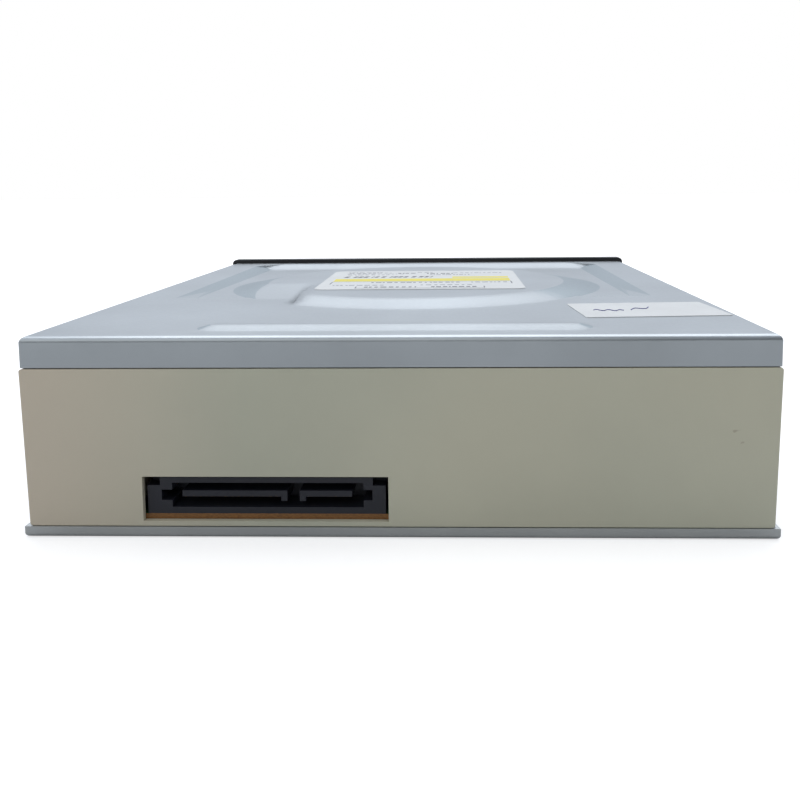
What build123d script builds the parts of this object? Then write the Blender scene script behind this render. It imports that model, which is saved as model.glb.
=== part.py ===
from build123d import *
import math
import os

# Internal DVD drive, 5.25 inch half height, with a SATA connector.
#
# Millimetres. X runs to the right as seen from the rear, Y from the rear to the front bezel, Z up.
# The origin is the centre of the underside of the whole drive.
#
# The traverse deck and all it carries are drawn level, as they lie while a disc plays, and are then
# lowered about the deck's pivot. The drive rests with its deck down, so that the tray can run out.

# The whole drive
BODY_W = 146.0              # width over the steel side walls
BODY_L = 165.0              # rear lip to the back of the bezel
FLAT_H = 39.8               # underside to the flat of the top cover
BEZEL_T = 5.0
BEZEL_OVERHANG = 0.6        # bezel past the steel at each side
BEZEL_RISE = 1.3            # bezel above the flat of the cover
DISC_OFFSET = 4.5           # disc centre in front of the middle of the body
SEAM = 0.2                  # gap between pieces that meet
LAP = 0.5                   # overlap of two bodies that are joined
CUT = 1.0                   # how far a cutter runs past what it cuts
SLAB_T = 5.0                # slab that the cover's relief is cut from

REAR_Y = -(BODY_L + BEZEL_T) / 2
BEZEL_Y = REAR_Y + BODY_L
FRONT_Y = BEZEL_Y + BEZEL_T
BEZEL_W = BODY_W + 2 * BEZEL_OVERHANG
BEZEL_H = FLAT_H + BEZEL_RISE
DISC_Y = (REAR_Y + BEZEL_Y) / 2 + DISC_OFFSET

# Steel covers
STEEL = 0.7
COVER_BEND_R = 1.2
SKIRT_H = 6.1               # the top cover's rear skirt
SKIRT_SET_IN = 0.6          # skirt behind the rear lip
LIP_OVERHANG = 0.5          # rear lip past the steel at each side
LIP_H = 2.2
PAN_T = 0.8
PAN_BEND_R = 0.9
LIP_W = BODY_W + 2 * LIP_OVERHANG

# Pressed relief of the top cover
ROUND_BASE_R = 50.0
ROUND_TOP_R = 42.0
ROUND_H = 1.5
SUNK_MARGIN = 11.5          # side wall to the sunk field
SUNK_FROM_REAR = 60.0
SUNK_FROM_BEZEL = 6.0
SUNK_SIDE_RUN = 5.5         # width of the sunk field's side walls
SUNK_FRONT_RUN = 8.0
SUNK_CORNER_R = 10.0
SUNK_DEPTH = 1.45           # at the front
SUNK_START = 0.1            # at the rear
STEP_X = 28.0               # step in the left of the raised round
RAMP_HIGH_BACK = 7.5        # disc centre back to the top of the ramp beside the step
RAMP_LOW_BACK = 30.5
BEAD_X0 = -41.0
BEAD_L = 80.0
BEAD_REAR_GAP = 7.0         # rear lip to the bead
BEAD_W = 8.0
BEAD_H = 0.7
BEAD_FLANK = 2.6
BEAD_END_R = 3.9
SUNK_HALF_W = BODY_W / 2 - SUNK_MARGIN
SUNK_REAR_Y = REAR_Y + SUNK_FROM_REAR
SUNK_FRONT_Y = BEZEL_Y - SUNK_FROM_BEZEL

# Fixing holes, all M3
SIDE_HOLE_FROM_BEZEL = 47.4
HOLE_PITCH_Y = 79.25
SIDE_HOLE_Z = 10.0
HOLE_PITCH_Z = 11.84
BOTTOM_HOLE_SET_IN = 3.15
M3_R = 1.5
COLLAR_R = 2.5
COLLAR_H = 1.4
SCREW_CLEARANCE_R = 2.2
FOOT_CLEARANCE_R = 2.8
FOOT_CLEARANCE_H = 4.0
BOTTOM_HOLE_X = BODY_W / 2 - BOTTOM_HOLE_SET_IN
FRONT_HOLE_Y = BEZEL_Y - SIDE_HOLE_FROM_BEZEL
HOLE_ROWS_Y = (FRONT_HOLE_Y, FRONT_HOLE_Y - HOLE_PITCH_Y)
HOLE_ROWS_Z = (SIDE_HOLE_Z, SIDE_HOLE_Z + HOLE_PITCH_Z)

# Main chassis, moulded
PANEL_T = 1.3
PANEL_SET_IN = 0.3
PANEL_SPREAD = 0.2          # panel past the steel at its top, each side
PANEL_TAPER = 0.7           # the panel's lower end is narrower by this, each side
PANEL_CORNER_R = 0.5
WALL_T = 1.8
WALL_GAP = 2.1              # steel side wall to the moulded wall
COVER_ROOM = 5.8            # top of the chassis to the flat of the cover
FLOOR_Z = 6.6
FLOOR_T = 1.6
CHASSIS_GAP = 0.8           # front wall to the back of the bezel
FRONT_WALL_T = 1.8
STEEL_IN_X = BODY_W / 2 - STEEL
WALL_OUT_X = STEEL_IN_X - WALL_GAP
WALL_IN_X = WALL_OUT_X - WALL_T
PANEL_REAR_Y = REAR_Y + PANEL_SET_IN
PANEL_FRONT_Y = PANEL_REAR_Y + PANEL_T
PANEL_TOP_HALF_W = BODY_W / 2 + PANEL_SPREAD
PANEL_LOW_HALF_W = PANEL_TOP_HALF_W - PANEL_TAPER
CHASSIS_TOP_Z = FLAT_H - COVER_ROOM
CHASSIS_FRONT_Y = BEZEL_Y - CHASSIS_GAP
CHASSIS_LOW_Z = LIP_H + SEAM
FLOOR_TOP = FLOOR_Z + FLOOR_T

WINDOW_FROM_SIDE = 23.1     # side of the body to the connector's window
WINDOW_W = 48.2
WINDOW_Z0 = 3.25
WINDOW_H = 8.95
WINDOW_X0 = WINDOW_FROM_SIDE - BODY_W / 2

# Tray and its guides
TRAY_SIDE_GAP = 2.8         # tray flange to the moulded wall
TRAY_FLANGE_W = 1.3
TRAY_UNDER_TOP = 10.0       # tray's underside below the top of the chassis
TRAY_FLANGE_T = 3.0
TRAY_H = 5.0
TRAY_FROM_REAR = 7.0
TRAY_BAR_L = 12.0
TRAY_CORNER_R = 2.0
WELL_R = 60.5
WELL_FLOOR_T = 2.8
SMALL_WELL_R = 41.0
SMALL_WELL_FLOOR_T = 1.9
TRAY_WINDOW_HALF_W = 18.0
TRAY_BAR_W = 7.0            # solid bar behind the tray's window
FINGER_R = 14.0
FINGER_OUT = 4.0            # centre of the finger dip outside the well
TAB_L = 7.0
TAB_W = 5.0
TAB_T = 1.2
TAB_INSET = 0.6
TAB_ANGLES = (50, 130, 230, 310)
TRAY_FRONT_WALL_T = 2.0
TRAY_FRONT_WALL_SET_IN = 5.6
GUIDE_GAP = 0.35
GUIDE_LEDGE_IN = 2.2
GUIDE_WALL = 2.0
TRAY_SKIN = 1.8
TRAY_HALF_W = WALL_IN_X - TRAY_SIDE_GAP
TRAY_BODY_HALF_W = TRAY_HALF_W - TRAY_FLANGE_W
TRAY_Z = CHASSIS_TOP_Z - TRAY_UNDER_TOP
TRAY_REAR_Y = REAR_Y + TRAY_FROM_REAR
TRAY_BAR_FRONT_Y = TRAY_REAR_Y + TRAY_BAR_L
TRAY_WINDOW_REAR_Y = TRAY_REAR_Y + TRAY_BAR_W

# Bezel and door
SLOT_SIDE = 1.0             # slot past the tray at each side
SLOT_BELOW_TRAY = 4.6
SLOT_ABOVE_CHASSIS = 1.1
SLOT_RIM = 1.6
DOOR_GAP = 0.45
DOOR_T = 4.7
DOOR_FACE_T = 2.2
DOOR_RIM = 1.5
DOOR_EDGE_R = 0.6
BEZEL_SKIN = 2.0
BEZEL_CORNER_R = 1.5
BEZEL_EDGE_R = 0.8
CLIP_GAP = 0.3
CLIP_T = 1.3
CLIP_L = 8.0
CLIP_Z0 = 12.0
CLIP_Z1 = 20.0
BUTTON_FROM_EDGE = 20.6     # side of the bezel to the middle of the button
BUTTON_W = 18.0
BUTTON_H = 5.0
BUTTON_GAP = 0.2
BUTTON_EDGE_R = 0.5
STEM_R = 1.6
BUTTON_SET_BACK = 0.6
LAMP_FROM_BUTTON = 17.0
LAMP_R = 1.1
LAMP_GAP = 0.1
PIN_HOLE_FROM_LAMP = 10.0
PIN_HOLE_R = 0.8
CONTROL_RISE = 3.0          # chassis floor to the middle of button, lamp and pin hole
SLOT_HALF_W = TRAY_HALF_W + SLOT_SIDE
SLOT_Z0 = TRAY_Z - SLOT_BELOW_TRAY
SLOT_Z1 = CHASSIS_TOP_Z + SLOT_ABOVE_CHASSIS
BUTTON_X = -(BEZEL_W / 2 - BUTTON_FROM_EDGE)
LAMP_X = BUTTON_X + LAMP_FROM_BUTTON
PIN_HOLE_X = LAMP_X + PIN_HOLE_FROM_LAMP
CONTROL_Z = FLOOR_TOP + CONTROL_RISE

# Front board, its switch and its lamp
FRONT_BOARD_T = 1.2
FRONT_BOARD_L = 17.1
FRONT_BOARD_PAST_BUTTON = 11.0
FRONT_BOARD_PAST_PIN = 6.0
FRONT_BOARD_GAP = 0.3
SWITCH_SET_IN = 7.5         # face of the switch behind the bezel
SWITCH_W = 6.0
SWITCH_L = 4.0
SWITCH_RISE = 1.8
PLUNGER_L = 1.3
PLUNGER_R = 1.0
PLUNGER_IN = 0.8            # plunger inside the switch
PLUNGER_ROOM = 1.2          # depth of its hole
BUTTON_LASH = 0.3
LED_W = 3.0
LED_L = 2.0
LED_LENS_L = 1.0
LED_FROM_SWITCH = 4.5       # front of the lamp behind the face of the switch
TRAY_SWITCH_W = 7.0
TRAY_SWITCH_H = 4.0
TRAY_SWITCH_L = 4.0
TRAY_SWITCH_FROM_WALL = 4.4
LEVER_W = 5.0
LEVER_T = 0.5
LEVER_H = 5.0
SWITCH_FRONT_Y = BEZEL_Y - SWITCH_SET_IN
FRONT_BOARD_TOP = FLOOR_TOP + FRONT_BOARD_T
LED_FRONT_Y = SWITCH_FRONT_Y - LED_FROM_SWITCH
TRAY_SWITCH_X = PIN_HOLE_X + FRONT_BOARD_PAST_PIN + TRAY_SWITCH_W / 2

# Loading drive
RACK_FROM_EDGE = 13.6       # tray's edge to the pitch line of the rack
RACK_MODULE = 1.0
RACK_T = 3.2
RACK_DEPTH = 3.6
PINION_TEETH = 14
WHEEL_MODULE = 0.8
WHEEL_TEETH = 30
SMALL_TEETH = 10
ADDENDUM = 0.8              # tooth tip past the pitch line, in modules
DEDENDUM = 1.15             # tooth root past the pitch line, in modules
TOOTH_FOOT = 0.05
RACK_END = 0.5
RACK_PAST_GEAR = 5.0
GEAR_FROM_BEZEL = 16.0
GEAR_FACE = 2.5
GEAR_RISE = 1.8             # chassis floor to the wheel
WHEEL_T = 3.0
TOOTH_SLACK = 0.3           # backlash along the pitch line
PRESSURE_ANGLE = math.radians(20)
GEAR_PIN_R = 1.9
PULLEY_PIN_R = 1.4
SHAFT_FIT = 0.1
SEAT_GAP = 0.3              # running gap under a hub
HUB_R = 3.6
SMALL_HUB_R = 2.9
PULLEY_R = 11.4
PULLEY_GROOVE_R = 10.6
PULLEY_UNDER_TRAY = 7.6
PULLEY_T = 2.6
GROOVE_H = 1.4
BELT_T = 1.0
BELT_H = 0.8
BELT_GAP = 0.3
BELT_SPAN = 28.0            # between the two pulleys, across the drive
MOTOR_SET_BACK = 2.0
MOTOR_R = 12.0
MOTOR_Z0 = 4.6
MOTOR_UNDER_PULLEY = 1.4
MOTOR_EDGE_R = 0.8
MOTOR_BOSS_R = 3.0
MOTOR_BOSS_H = 0.8
MOTOR_SHAFT_R = 1.0
SHAFT_IN = 3.5              # shaft inside the motor
SHAFT_ROOM = 4.0
SHAFT_OUT = 0.5             # shaft above its pulley
MOTOR_PULLEY_R = 3.2
MOTOR_GROOVE_R = 2.0
PINION_UNDER_TRAY = 0.6
PINION_R = RACK_MODULE * PINION_TEETH / 2
WHEEL_R = WHEEL_MODULE * WHEEL_TEETH / 2
SMALL_R = WHEEL_MODULE * SMALL_TEETH / 2
RACK_X = TRAY_HALF_W - RACK_FROM_EDGE
GEAR_X = RACK_X - PINION_R
GEAR_Y = BEZEL_Y - GEAR_FROM_BEZEL
PULLEY_X = GEAR_X - WHEEL_R - SMALL_R
WHEEL_Z = FLOOR_TOP + GEAR_RISE
PINION_Z1 = TRAY_Z - PINION_UNDER_TRAY
PULLEY_Z = TRAY_Z - PULLEY_UNDER_TRAY
GROOVE_Z = PULLEY_Z + PULLEY_T / 2
MOTOR_X = PULLEY_X - BELT_SPAN
MOTOR_Y = GEAR_Y - MOTOR_SET_BACK
MOTOR_Z1 = PULLEY_Z - MOTOR_UNDER_PULLEY

# Swing frame and deck plate, drawn level
SWING_FROM_WALL = 18.4
SWING_BAR = 4.0
SWING_END_BAR = 2.5
SWING_H = 5.0
SWING_UNDER_TRAY = 12.0
SWING_CORNER_R = 2.0
DECK_BAY_GAP = 3.0          # swing frame to the side of its bay
SIDE_FLOOR_FROM_DISC = 30.0
DECK_SIDE_GAP = 1.0
DECK_UNDER_TRAY = 8.6
DECK_T = 1.2
DECK_CORNER_R = 2.5
DECK_RIM = 9.0              # side of the deck plate to its window
WINDOW_BEHIND_DISC = 12.0   # disc centre to the front of the deck's window
DECK_REAR_RIM = 5.5
DECK_REAR_SET_IN = 3.0
DECK_SET_BACK = 5.5         # swing frame's front to the deck plate's
GROMMET_FROM_EDGE = 4.5
GROMMET_FROM_REAR = 3.5
GROMMET_FROM_FRONT = 5.5
GROMMET_R = 3.4
GROMMET_NECK_R = 2.4
GROMMET_BELOW = 1.8
GROMMET_ABOVE = 1.2
DECK_TAB_HALF = 4.0
DECK_SCREW_R = 1.0
DECK_SCREW_HEAD_R = 2.6
DECK_SCREW_HEAD_H = 1.0
SWING_HALF_W = WALL_IN_X - SWING_FROM_WALL
SWING_INNER_X = SWING_HALF_W - SWING_BAR
SWING_Z0 = TRAY_Z - SWING_UNDER_TRAY
SWING_Z1 = SWING_Z0 + SWING_H
DECK_BAY_HALF_W = SWING_HALF_W + DECK_BAY_GAP
SIDE_FLOOR_Y = DISC_Y - SIDE_FLOOR_FROM_DISC
DECK_HALF_W = SWING_INNER_X - DECK_SIDE_GAP
DECK_Z = TRAY_Z - DECK_UNDER_TRAY
DECK_TOP = DECK_Z + DECK_T
GROMMET_X = DECK_HALF_W - GROMMET_FROM_EDGE

# Deck pivot and cam
PIVOT_FROM_REAR = 9.0
PIVOT_UNDER_TRAY = 10.0
PIVOT_TO_END = 4.0          # pivot to the rear end of the swing frame
TURNTABLE_DROP = 7.0986     # of the disc centre, from the raised to the lowered deck
TRUNNION_R = 2.0
TRUNNION_L = 4.4
CHEEK_GAP = 1.0
CHEEK_T = 4.0
CHEEK_PAST_PIVOT = 5.0
CHEEK_ABOVE_PIVOT = 4.5
CAM_TRAVEL = 14.0
CAM_FROM_DISC = 27.5
CAM_T = 3.0
CAM_PIN_R = 1.25
CAM_PIN_SET_IN = 21.0
CAM_PIN_RISE = 1.0          # pin above the swing frame
CAM_PIN_END = 0.6
CAM_SLOT_GAP = 0.35
CAM_DWELL = 2.5
CAM_END = 5.0               # slider past its slots
CAM_RIGHT_END = 5.5
CAM_RECESS_W = 18.0
CAM_RECESS_DEPTH = 1.8
CAM_RECESS_RIM = 2.0
CAM_RECESS_GAP = 6.5
CAM_EDGE_R = 1.0
CAM_RISE = 2.4              # lip to the underside of the slider
CAM_UNDER_TRAY = 2.8
CAM_WALL_GAP = 1.1
CAM_TO_SWING = 2.5
CAM_WALL_SIDE_GAP = 2.0     # rack to the high part of the cam's wall
CAM_GUIDE_GAP = 0.3
HOOK_X = 13.0
HOOK_W = 6.0
HOOK_T = 1.2
HOOK_LIP = 1.0
LEDGE_LIP = 0.5
RIB_RISE = 0.8
RIB_W = 16.0
RIB_H = 2.0
LUG_W = 8.0
LUG_T = 3.0
LUG_ABOVE_PIN = 2.2
PIVOT_Y = REAR_Y + PIVOT_FROM_REAR
PIVOT_Z = TRAY_Z - PIVOT_UNDER_TRAY
DECK_DROP = math.atan2(TURNTABLE_DROP, DISC_Y - PIVOT_Y)
CAM_Y0 = DISC_Y + CAM_FROM_DISC
CAM_Y1 = CAM_Y0 + CAM_T
CAM_WALL_Y = CAM_Y1 + CAM_WALL_GAP
CAM_Z0 = LIP_H + CAM_RISE
CAM_Z1 = TRAY_Z - CAM_UNDER_TRAY
CAM_PIN_X = SWING_INNER_X - CAM_PIN_SET_IN
CAM_PIN_Z = SWING_Z1 + CAM_PIN_RISE
CAM_X0 = -(CAM_PIN_X + CAM_TRAVEL + CAM_DWELL + CAM_END)
CAM_X1 = CAM_PIN_X + CAM_DWELL + CAM_RIGHT_END
SWING_FRONT_Y = CAM_Y0 - CAM_TO_SWING
SWING_REAR_Y = PIVOT_Y - PIVOT_TO_END
DECK_REAR_Y = SWING_REAR_Y + DECK_REAR_SET_IN
DECK_FRONT_Y = SWING_FRONT_Y - DECK_SET_BACK
DECK_WINDOW_HALF_W = DECK_HALF_W - DECK_RIM
DECK_WINDOW_REAR_Y = DECK_REAR_Y + DECK_REAR_RIM
DECK_WINDOW_FRONT_Y = DISC_Y - WINDOW_BEHIND_DISC
GROMMET_REAR_Y = DECK_REAR_Y + GROMMET_FROM_REAR
GROMMET_FRONT_Y = DECK_FRONT_Y - GROMMET_FROM_FRONT
GROMMET_ROWS_Y = (GROMMET_REAR_Y, GROMMET_FRONT_Y)

# Spindle, drawn level
SPINDLE_HOLE_R = 16.5
ROTOR_ABOVE_DECK = 1.1      # underside of the cup above the deck plate's
ROTOR_R = 13.5
ROTOR_H = 8.0
ROTOR_WALL = 0.7
ROTOR_EDGE_R = 0.8
SPINDLE_SHAFT_R = 1.5
SHAFT_ABOVE_DECK = 0.9
BEARING_R = 4.0
BEARING_FLOOR = 0.6
STATOR_R = 11.4
STATOR_RISE = 1.0
STATOR_T = 3.2
STATOR_YOKE_W = 3.6
STATOR_ARM_L = 6.6
STATOR_ARM_W = 2.4
STATOR_ARMS = 9
MOTOR_PLATE_HALF_W = 24.0
MOTOR_PLATE_BEHIND = 13.0
MOTOR_PLATE_AHEAD = 17.5
MOTOR_PLATE_T = 0.8
MOTOR_PLATE_HOLE_R = 3.0
TURNTABLE_R = 15.0
TURNTABLE_T = 3.1
TURNTABLE_EDGE_R = 0.6
RUBBER_T = 0.6
RUBBER_W = 2.6
RUBBER_SET_IN = 0.2
HUB_BASE_R = 7.4
HUB_TOP_R = 5.4
HUB_H = 2.6
ROTOR_Z0 = DECK_Z + ROTOR_ABOVE_DECK
ROTOR_Z1 = ROTOR_Z0 + ROTOR_H
TURNTABLE_TOP = ROTOR_Z1 + TURNTABLE_T

# Sled, rods and lead screw, drawn level
LENS_R_IN = 23.5            # lens to spindle with the sled fully in
ROD_FROM_WINDOW = 6.0       # side of the deck's window to the rod
ROD_UNDER_DECK = 1.8
ROD_R = 1.5
ROD_PAST_WINDOW = 4.0
ROD_FIT = 0.08
ROD_CLIP_HALF_W = 3.2
ROD_CLIP_L = 2.4
ROD_CLIP_T = 0.8
BUSH_R = 2.8
SLED_FRONT = 8.5            # lens to the sled's front end
SLED_REAR = 13.0
SLED_TO_ROD = 4.0
SLED_H = 9.7
SLED_CORNER_R = 2.5
SLED_ARM_HALF_T = 1.6
SLED_END_GAP = 1.0          # bush shorter than the sled at each end
SLED_SHELL = 2.0
SLED_POCKET_H = 5.0
POCKET_TO_LENS = 8.0
FORK_BACK = 4.0
FORK_AHEAD = 3.0
FORK_PAST_ROD = 2.2
SPINDLE_ROOM = 1.0          # turntable to the sled's hollow
LASER_FROM_SIDE = 8.0
LASER_RISE = 7.0
LASER_R = 2.8
LASER_L = 1.8
LASER_FIT = 0.1
LASER_LEG_R = 0.25
LASER_LEG_OUT = 1.0
LASER_SET_IN = 0.4
LASER_LEG_PITCH = 1.0
SCREW_PAST_WINDOW = 3.2
SCREW_BELOW_ROD = 0.2
SCREW_R = 1.5
SCREW_FROM_WINDOW = 4.7
SCREW_BEHIND_DISC = 22.3
JOURNAL_R = 0.8
JOURNAL_REAR_L = 0.7
JOURNAL_FRONT_L = 3.0
BRACKET_T = 0.8
BRACKET_DROP = 2.9
BRACKET_EAR_IN = 3.0
STEPPER_R = 4.8
STEPPER_L = 12.0
STEPPER_GAP = 0.4
STEPPER_SEAT = 1.0
NUT_ARM_T = 1.2
NUT_ARM_L = 8.0
NUT_ARM_SET_IN = 4.0
NUT_ARM_LAP = 6.0
NUT_HALF_W = 2.0
NUT_GAP = 0.3
BASE_HALF_W = 13.0
BASE_BACK = 11.0
BASE_AHEAD = 7.0
BASE_T = 0.8
YOKE_HALF_W = 6.0
YOKE_BACK = 6.9
YOKE_AHEAD = 6.0
YOKE_WALL = 0.9
YOKE_H = 4.2
MAGNET_HALF_W = 5.5
MAGNET_T = 1.6
WIRE_HOLDER_HALF_W = 7.5
WIRE_HOLDER_BACK = 10.6
WIRE_HOLDER_L = 2.6
WIRE_HOLDER_H = 3.8
LENS_HOLDER_HALF = 3.2
LENS_HOLDER_HALF_W = 6.5
LENS_HOLDER_RISE = 1.6
LENS_HOLDER_H = 3.1
LENS_HOLDER_EDGE_R = 1.0
LENS_RING_W = 0.6
LENS_RING_H = 0.5
LENS_RADIUS = 2.4
LENS_SEAT = 0.6
LENS_RISE = 1.1
LENS_EDGE = 0.3
LENS_Y = DISC_Y - LENS_R_IN
ROD_X = DECK_WINDOW_HALF_W - ROD_FROM_WINDOW
ROD_Z = DECK_Z - ROD_UNDER_DECK
SLED_HALF_W = ROD_X - SLED_TO_ROD
SLED_Z0 = ROD_Z - BUSH_R
SLED_Z1 = SLED_Z0 + SLED_H
SLED_REAR_Y = LENS_Y - SLED_REAR
SLED_FRONT_Y = LENS_Y + SLED_FRONT
LASER_X = SLED_HALF_W - LASER_FROM_SIDE
LASER_Z = SLED_Z0 + LASER_RISE
SCREW_X = DECK_WINDOW_HALF_W + SCREW_PAST_WINDOW
SCREW_Z = ROD_Z - SCREW_BELOW_ROD
SCREW_REAR_Y = DECK_WINDOW_REAR_Y + SCREW_FROM_WINDOW
SCREW_FRONT_Y = DISC_Y - SCREW_BEHIND_DISC
LENS_HOLDER_Z0 = SLED_Z1 + LENS_HOLDER_RISE
LENS_HOLDER_Z1 = LENS_HOLDER_Z0 + LENS_HOLDER_H
LENS_TOP_Z = LENS_HOLDER_Z1 + LENS_RISE

# Clamp
BRIDGE_T = 1.0
BRIDGE_HALF_Y = 24.0
BRIDGE_HALF_X = 32.0
BRIDGE_CORNER_R = 6.0
BRIDGE_WAIST_Y = 12.0
BRIDGE_HOLE_R = 16.0
BRIDGE_FLANGE_H = 2.0
BRIDGE_FLANGE_HALF_X = 24.0
BRIDGE_SCREW_IN = 1.6       # moulded wall to the bridge's screw
BRIDGE_SCREW_FROM_EDGE = 4.0
BRIDGE_SCREW_R = 0.9
BRIDGE_SCREW_L = 4.0
BRIDGE_HEAD_R = 2.0
BRIDGE_HEAD_H = 1.2
BRIDGE_BOSS_R = 2.4
SCREW_FIT = 0.05
SCREW_HOLE_FIT = 0.2
PUCK_R = 15.2
PUCK_ABOVE_TRAY = 4.6
PUCK_FLANGE_R = 19.0
PUCK_FLANGE_T = 1.0
PUCK_FLANGE_GAP = 0.3
PUCK_WALL = 1.4
PUCK_HUB_ROOM = 1.4
PUCK_HUB_DEPTH = 3.0
PUCK_FLOOR = 0.8
YOKE_SINK = 1.0             # yoke's seat below the puck's flange
YOKE_R = 12.0
YOKE_T = 0.8
YOKE_POST_IN = 2.0
BRIDGE_Z = CHASSIS_TOP_Z
BRIDGE_TOP = BRIDGE_Z + BRIDGE_T
BRIDGE_SCREW_X = WALL_IN_X - BRIDGE_SCREW_IN
BRIDGE_SCREWS_Y = (DISC_Y - BRIDGE_WAIST_Y + BRIDGE_SCREW_FROM_EDGE,
                   DISC_Y + BRIDGE_WAIST_Y - BRIDGE_SCREW_FROM_EDGE)
PUCK_Z = TRAY_Z + PUCK_ABOVE_TRAY
PUCK_FLANGE_Z = BRIDGE_TOP + PUCK_FLANGE_GAP

# Main board and what it carries
BOARD_Z = 2.7
BOARD_T = 1.6
BOARD_SIDE_GAP = 2.4
BOARD_BEHIND_DISC = 32.0    # disc centre to the front of the board
BOARD_SET_IN = 1.75
CONN_GAP = 0.5              # connector to the side of its window
CONN_W = 47.05
CONN_TOP_Z = 11.6
CONN_DEPTH = 7.6
CAVITY_FROM_END = 4.9       # end of the connector to its cavity
CAVITY_W = 37.8
CAVITY_Z0 = 5.6
CAVITY_Z1 = 10.5
CAVITY_DEPTH = 6.6
KEY_FROM_END = 2.8
KEY_W = 41.65
KEY_Z0 = 7.0
KEY_Z1 = 9.1
CORNER_NOTCH_W = 2.5
CORNER_NOTCH_H = 1.6
CORNER_NOTCH_L = 3.0
TONGUE_Z0 = 7.6
TONGUE_Z1 = 8.8
TONGUE_SET_IN = 0.4
POWER_FROM_END = 6.8
POWER_W = 20.8
SIGNAL_FROM_END = 30.05
SIGNAL_W = 10.35
TONGUE_LEG_W = 1.2
TONGUE_LEG_H = 0.9
CONTACT_SET_IN = 0.8
CONTACT_PITCH = 1.27
CONTACT_W = 0.8
CONTACT_T = 0.15
POWER_CONTACTS = 15
SIGNAL_CONTACTS = 7
CHIP_H = 1.0
CONTROLLER_W = 16.0
MOTOR_DRIVER_W = 10.0
MOTOR_DRIVER_L = 8.0
MEMORY_W = 8.0
MEMORY_L = 5.0
CRYSTAL_W = 5.0
CRYSTAL_L = 3.2
PAD_MARGIN = 1.0
SOCKET_H = 1.2
SOCKET_L = 3.6
SOCKET_FROM_FRONT = 4.0
PICKUP_SOCKET_W = 22.0
MOTOR_SOCKET_W = 12.0
CAN_R = 2.5
CAN_H = 5.4
CAN_EDGE_R = 0.4
CAN_SET_IN = 6.0
SMALL_PART_W = 2.0
SMALL_PART_L = 1.2
SMALL_PART_H = 0.7
SMALL_PITCH_LEFT = 4.0
SMALL_PITCH_RIGHT = 3.2
BOARD_TOP = BOARD_Z + BOARD_T
BOARD_HALF_W = WALL_IN_X - BOARD_SIDE_GAP
BOARD_REAR_Y = REAR_Y + BOARD_SET_IN
BOARD_FRONT_Y = DISC_Y - BOARD_BEHIND_DISC
BOARD_L = BOARD_FRONT_Y - BOARD_REAR_Y
CONN_X0 = WINDOW_X0 + CONN_GAP
CONN_X1 = CONN_X0 + CONN_W
CAVITY_X0 = CONN_X0 + CAVITY_FROM_END
CAVITY_X1 = CAVITY_X0 + CAVITY_W
KEY_X0 = CONN_X0 + KEY_FROM_END
KEY_X1 = KEY_X0 + KEY_W
POWER_X0 = CONN_X0 + POWER_FROM_END
POWER_X1 = POWER_X0 + POWER_W
SIGNAL_X0 = CONN_X0 + SIGNAL_FROM_END
SIGNAL_X1 = SIGNAL_X0 + SIGNAL_W
# Middle, width and length of each chip. Places are shares of the board's half width and length.
CONTROLLER = (BOARD_HALF_W * 0.33, BOARD_L * 0.53, CONTROLLER_W, CONTROLLER_W)
MOTOR_DRIVER = (BOARD_HALF_W * -0.36, BOARD_L * 0.70, MOTOR_DRIVER_W, MOTOR_DRIVER_L)
MEMORY = (BOARD_HALF_W * -0.10, BOARD_L * 0.36, MEMORY_W, MEMORY_L)
CRYSTAL = (BOARD_HALF_W * 0.13, BOARD_L * 0.74, CRYSTAL_W, CRYSTAL_L)
PICKUP_SOCKET = (0.0, PICKUP_SOCKET_W)
MOTOR_SOCKET = (BOARD_HALF_W * 0.55, MOTOR_SOCKET_W)
# Place of each capacitor: side, set in from the side edge, and Y from the rear edge.
CANS = ((-1, CAN_SET_IN, BOARD_L * 0.81), (-1, CAN_SET_IN, BOARD_L * 0.62), (1, CAN_SET_IN, BOARD_L * 0.77))
# Rows of small parts: first X, pitch, count, and Y from the rear edge.
SMALL_ROWS = (
    (BOARD_HALF_W * -0.62, SMALL_PITCH_LEFT, 6, BOARD_L * 0.51),
    (BOARD_HALF_W * 0.45, SMALL_PITCH_RIGHT, 6, BOARD_L * 0.36))

# Screws under the bottom cover
BOSS_FROM_WALL = 6.4
BOSS_FROM_REAR = 11.0
BOSS_FROM_BEZEL = 10.0
BOSS_R = 3.0
BOSS_BOARD_GAP = 0.2
BOSS_WEB = 4.0
BOSS_CAP = 1.0
SHOULDER_R = 4.4
DIMPLE_R = 4.2
DIMPLE_H = 1.0
SCREW_SHANK_R = 1.25
SCREW_HEAD_R = 3.0
SCREW_HEAD_H = 0.9
SCREW_L = 5.4
BOSS_X = WALL_IN_X - BOSS_FROM_WALL
BOSS_REAR_Y = REAR_Y + BOSS_FROM_REAR
BOSS_FRONT_Y = BEZEL_Y - BOSS_FROM_BEZEL
BOSSES = [(x, y) for x in (-BOSS_X, BOSS_X) for y in (BOSS_REAR_Y, BOSS_FRONT_Y)]

# Stickers
LABEL_T = 0.12
LABEL_X = 1.6
LABEL_AHEAD = 1.6           # middle of the label in front of the disc centre
LABEL_W = 56.0
LABEL_H = 50.0
LABEL_CORNER_R = 2.5
LABEL_TURN = 0.6
STICKER_FROM_SIDE = 18.4
STICKER_FROM_REAR = 34.6
STICKER_W = 32.0
STICKER_H = 22.0
STICKER_CORNER_R = 0.8
STICKER_TURN = 4.2

def block(x0, x1, y0, y1, z0, z1):
    return Pos((x0 + x1) / 2, (y0 + y1) / 2, (z0 + z1) / 2) * Box(x1 - x0, y1 - y0, z1 - z0)


def post(x, y, z0, z1, r):
    return Pos(x, y, (z0 + z1) / 2) * Cylinder(r, z1 - z0)


def rod_y(x, z, y0, y1, r):
    return Pos(x, (y0 + y1) / 2, z) * Rot(90, 0, 0) * Cylinder(r, y1 - y0)


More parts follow.
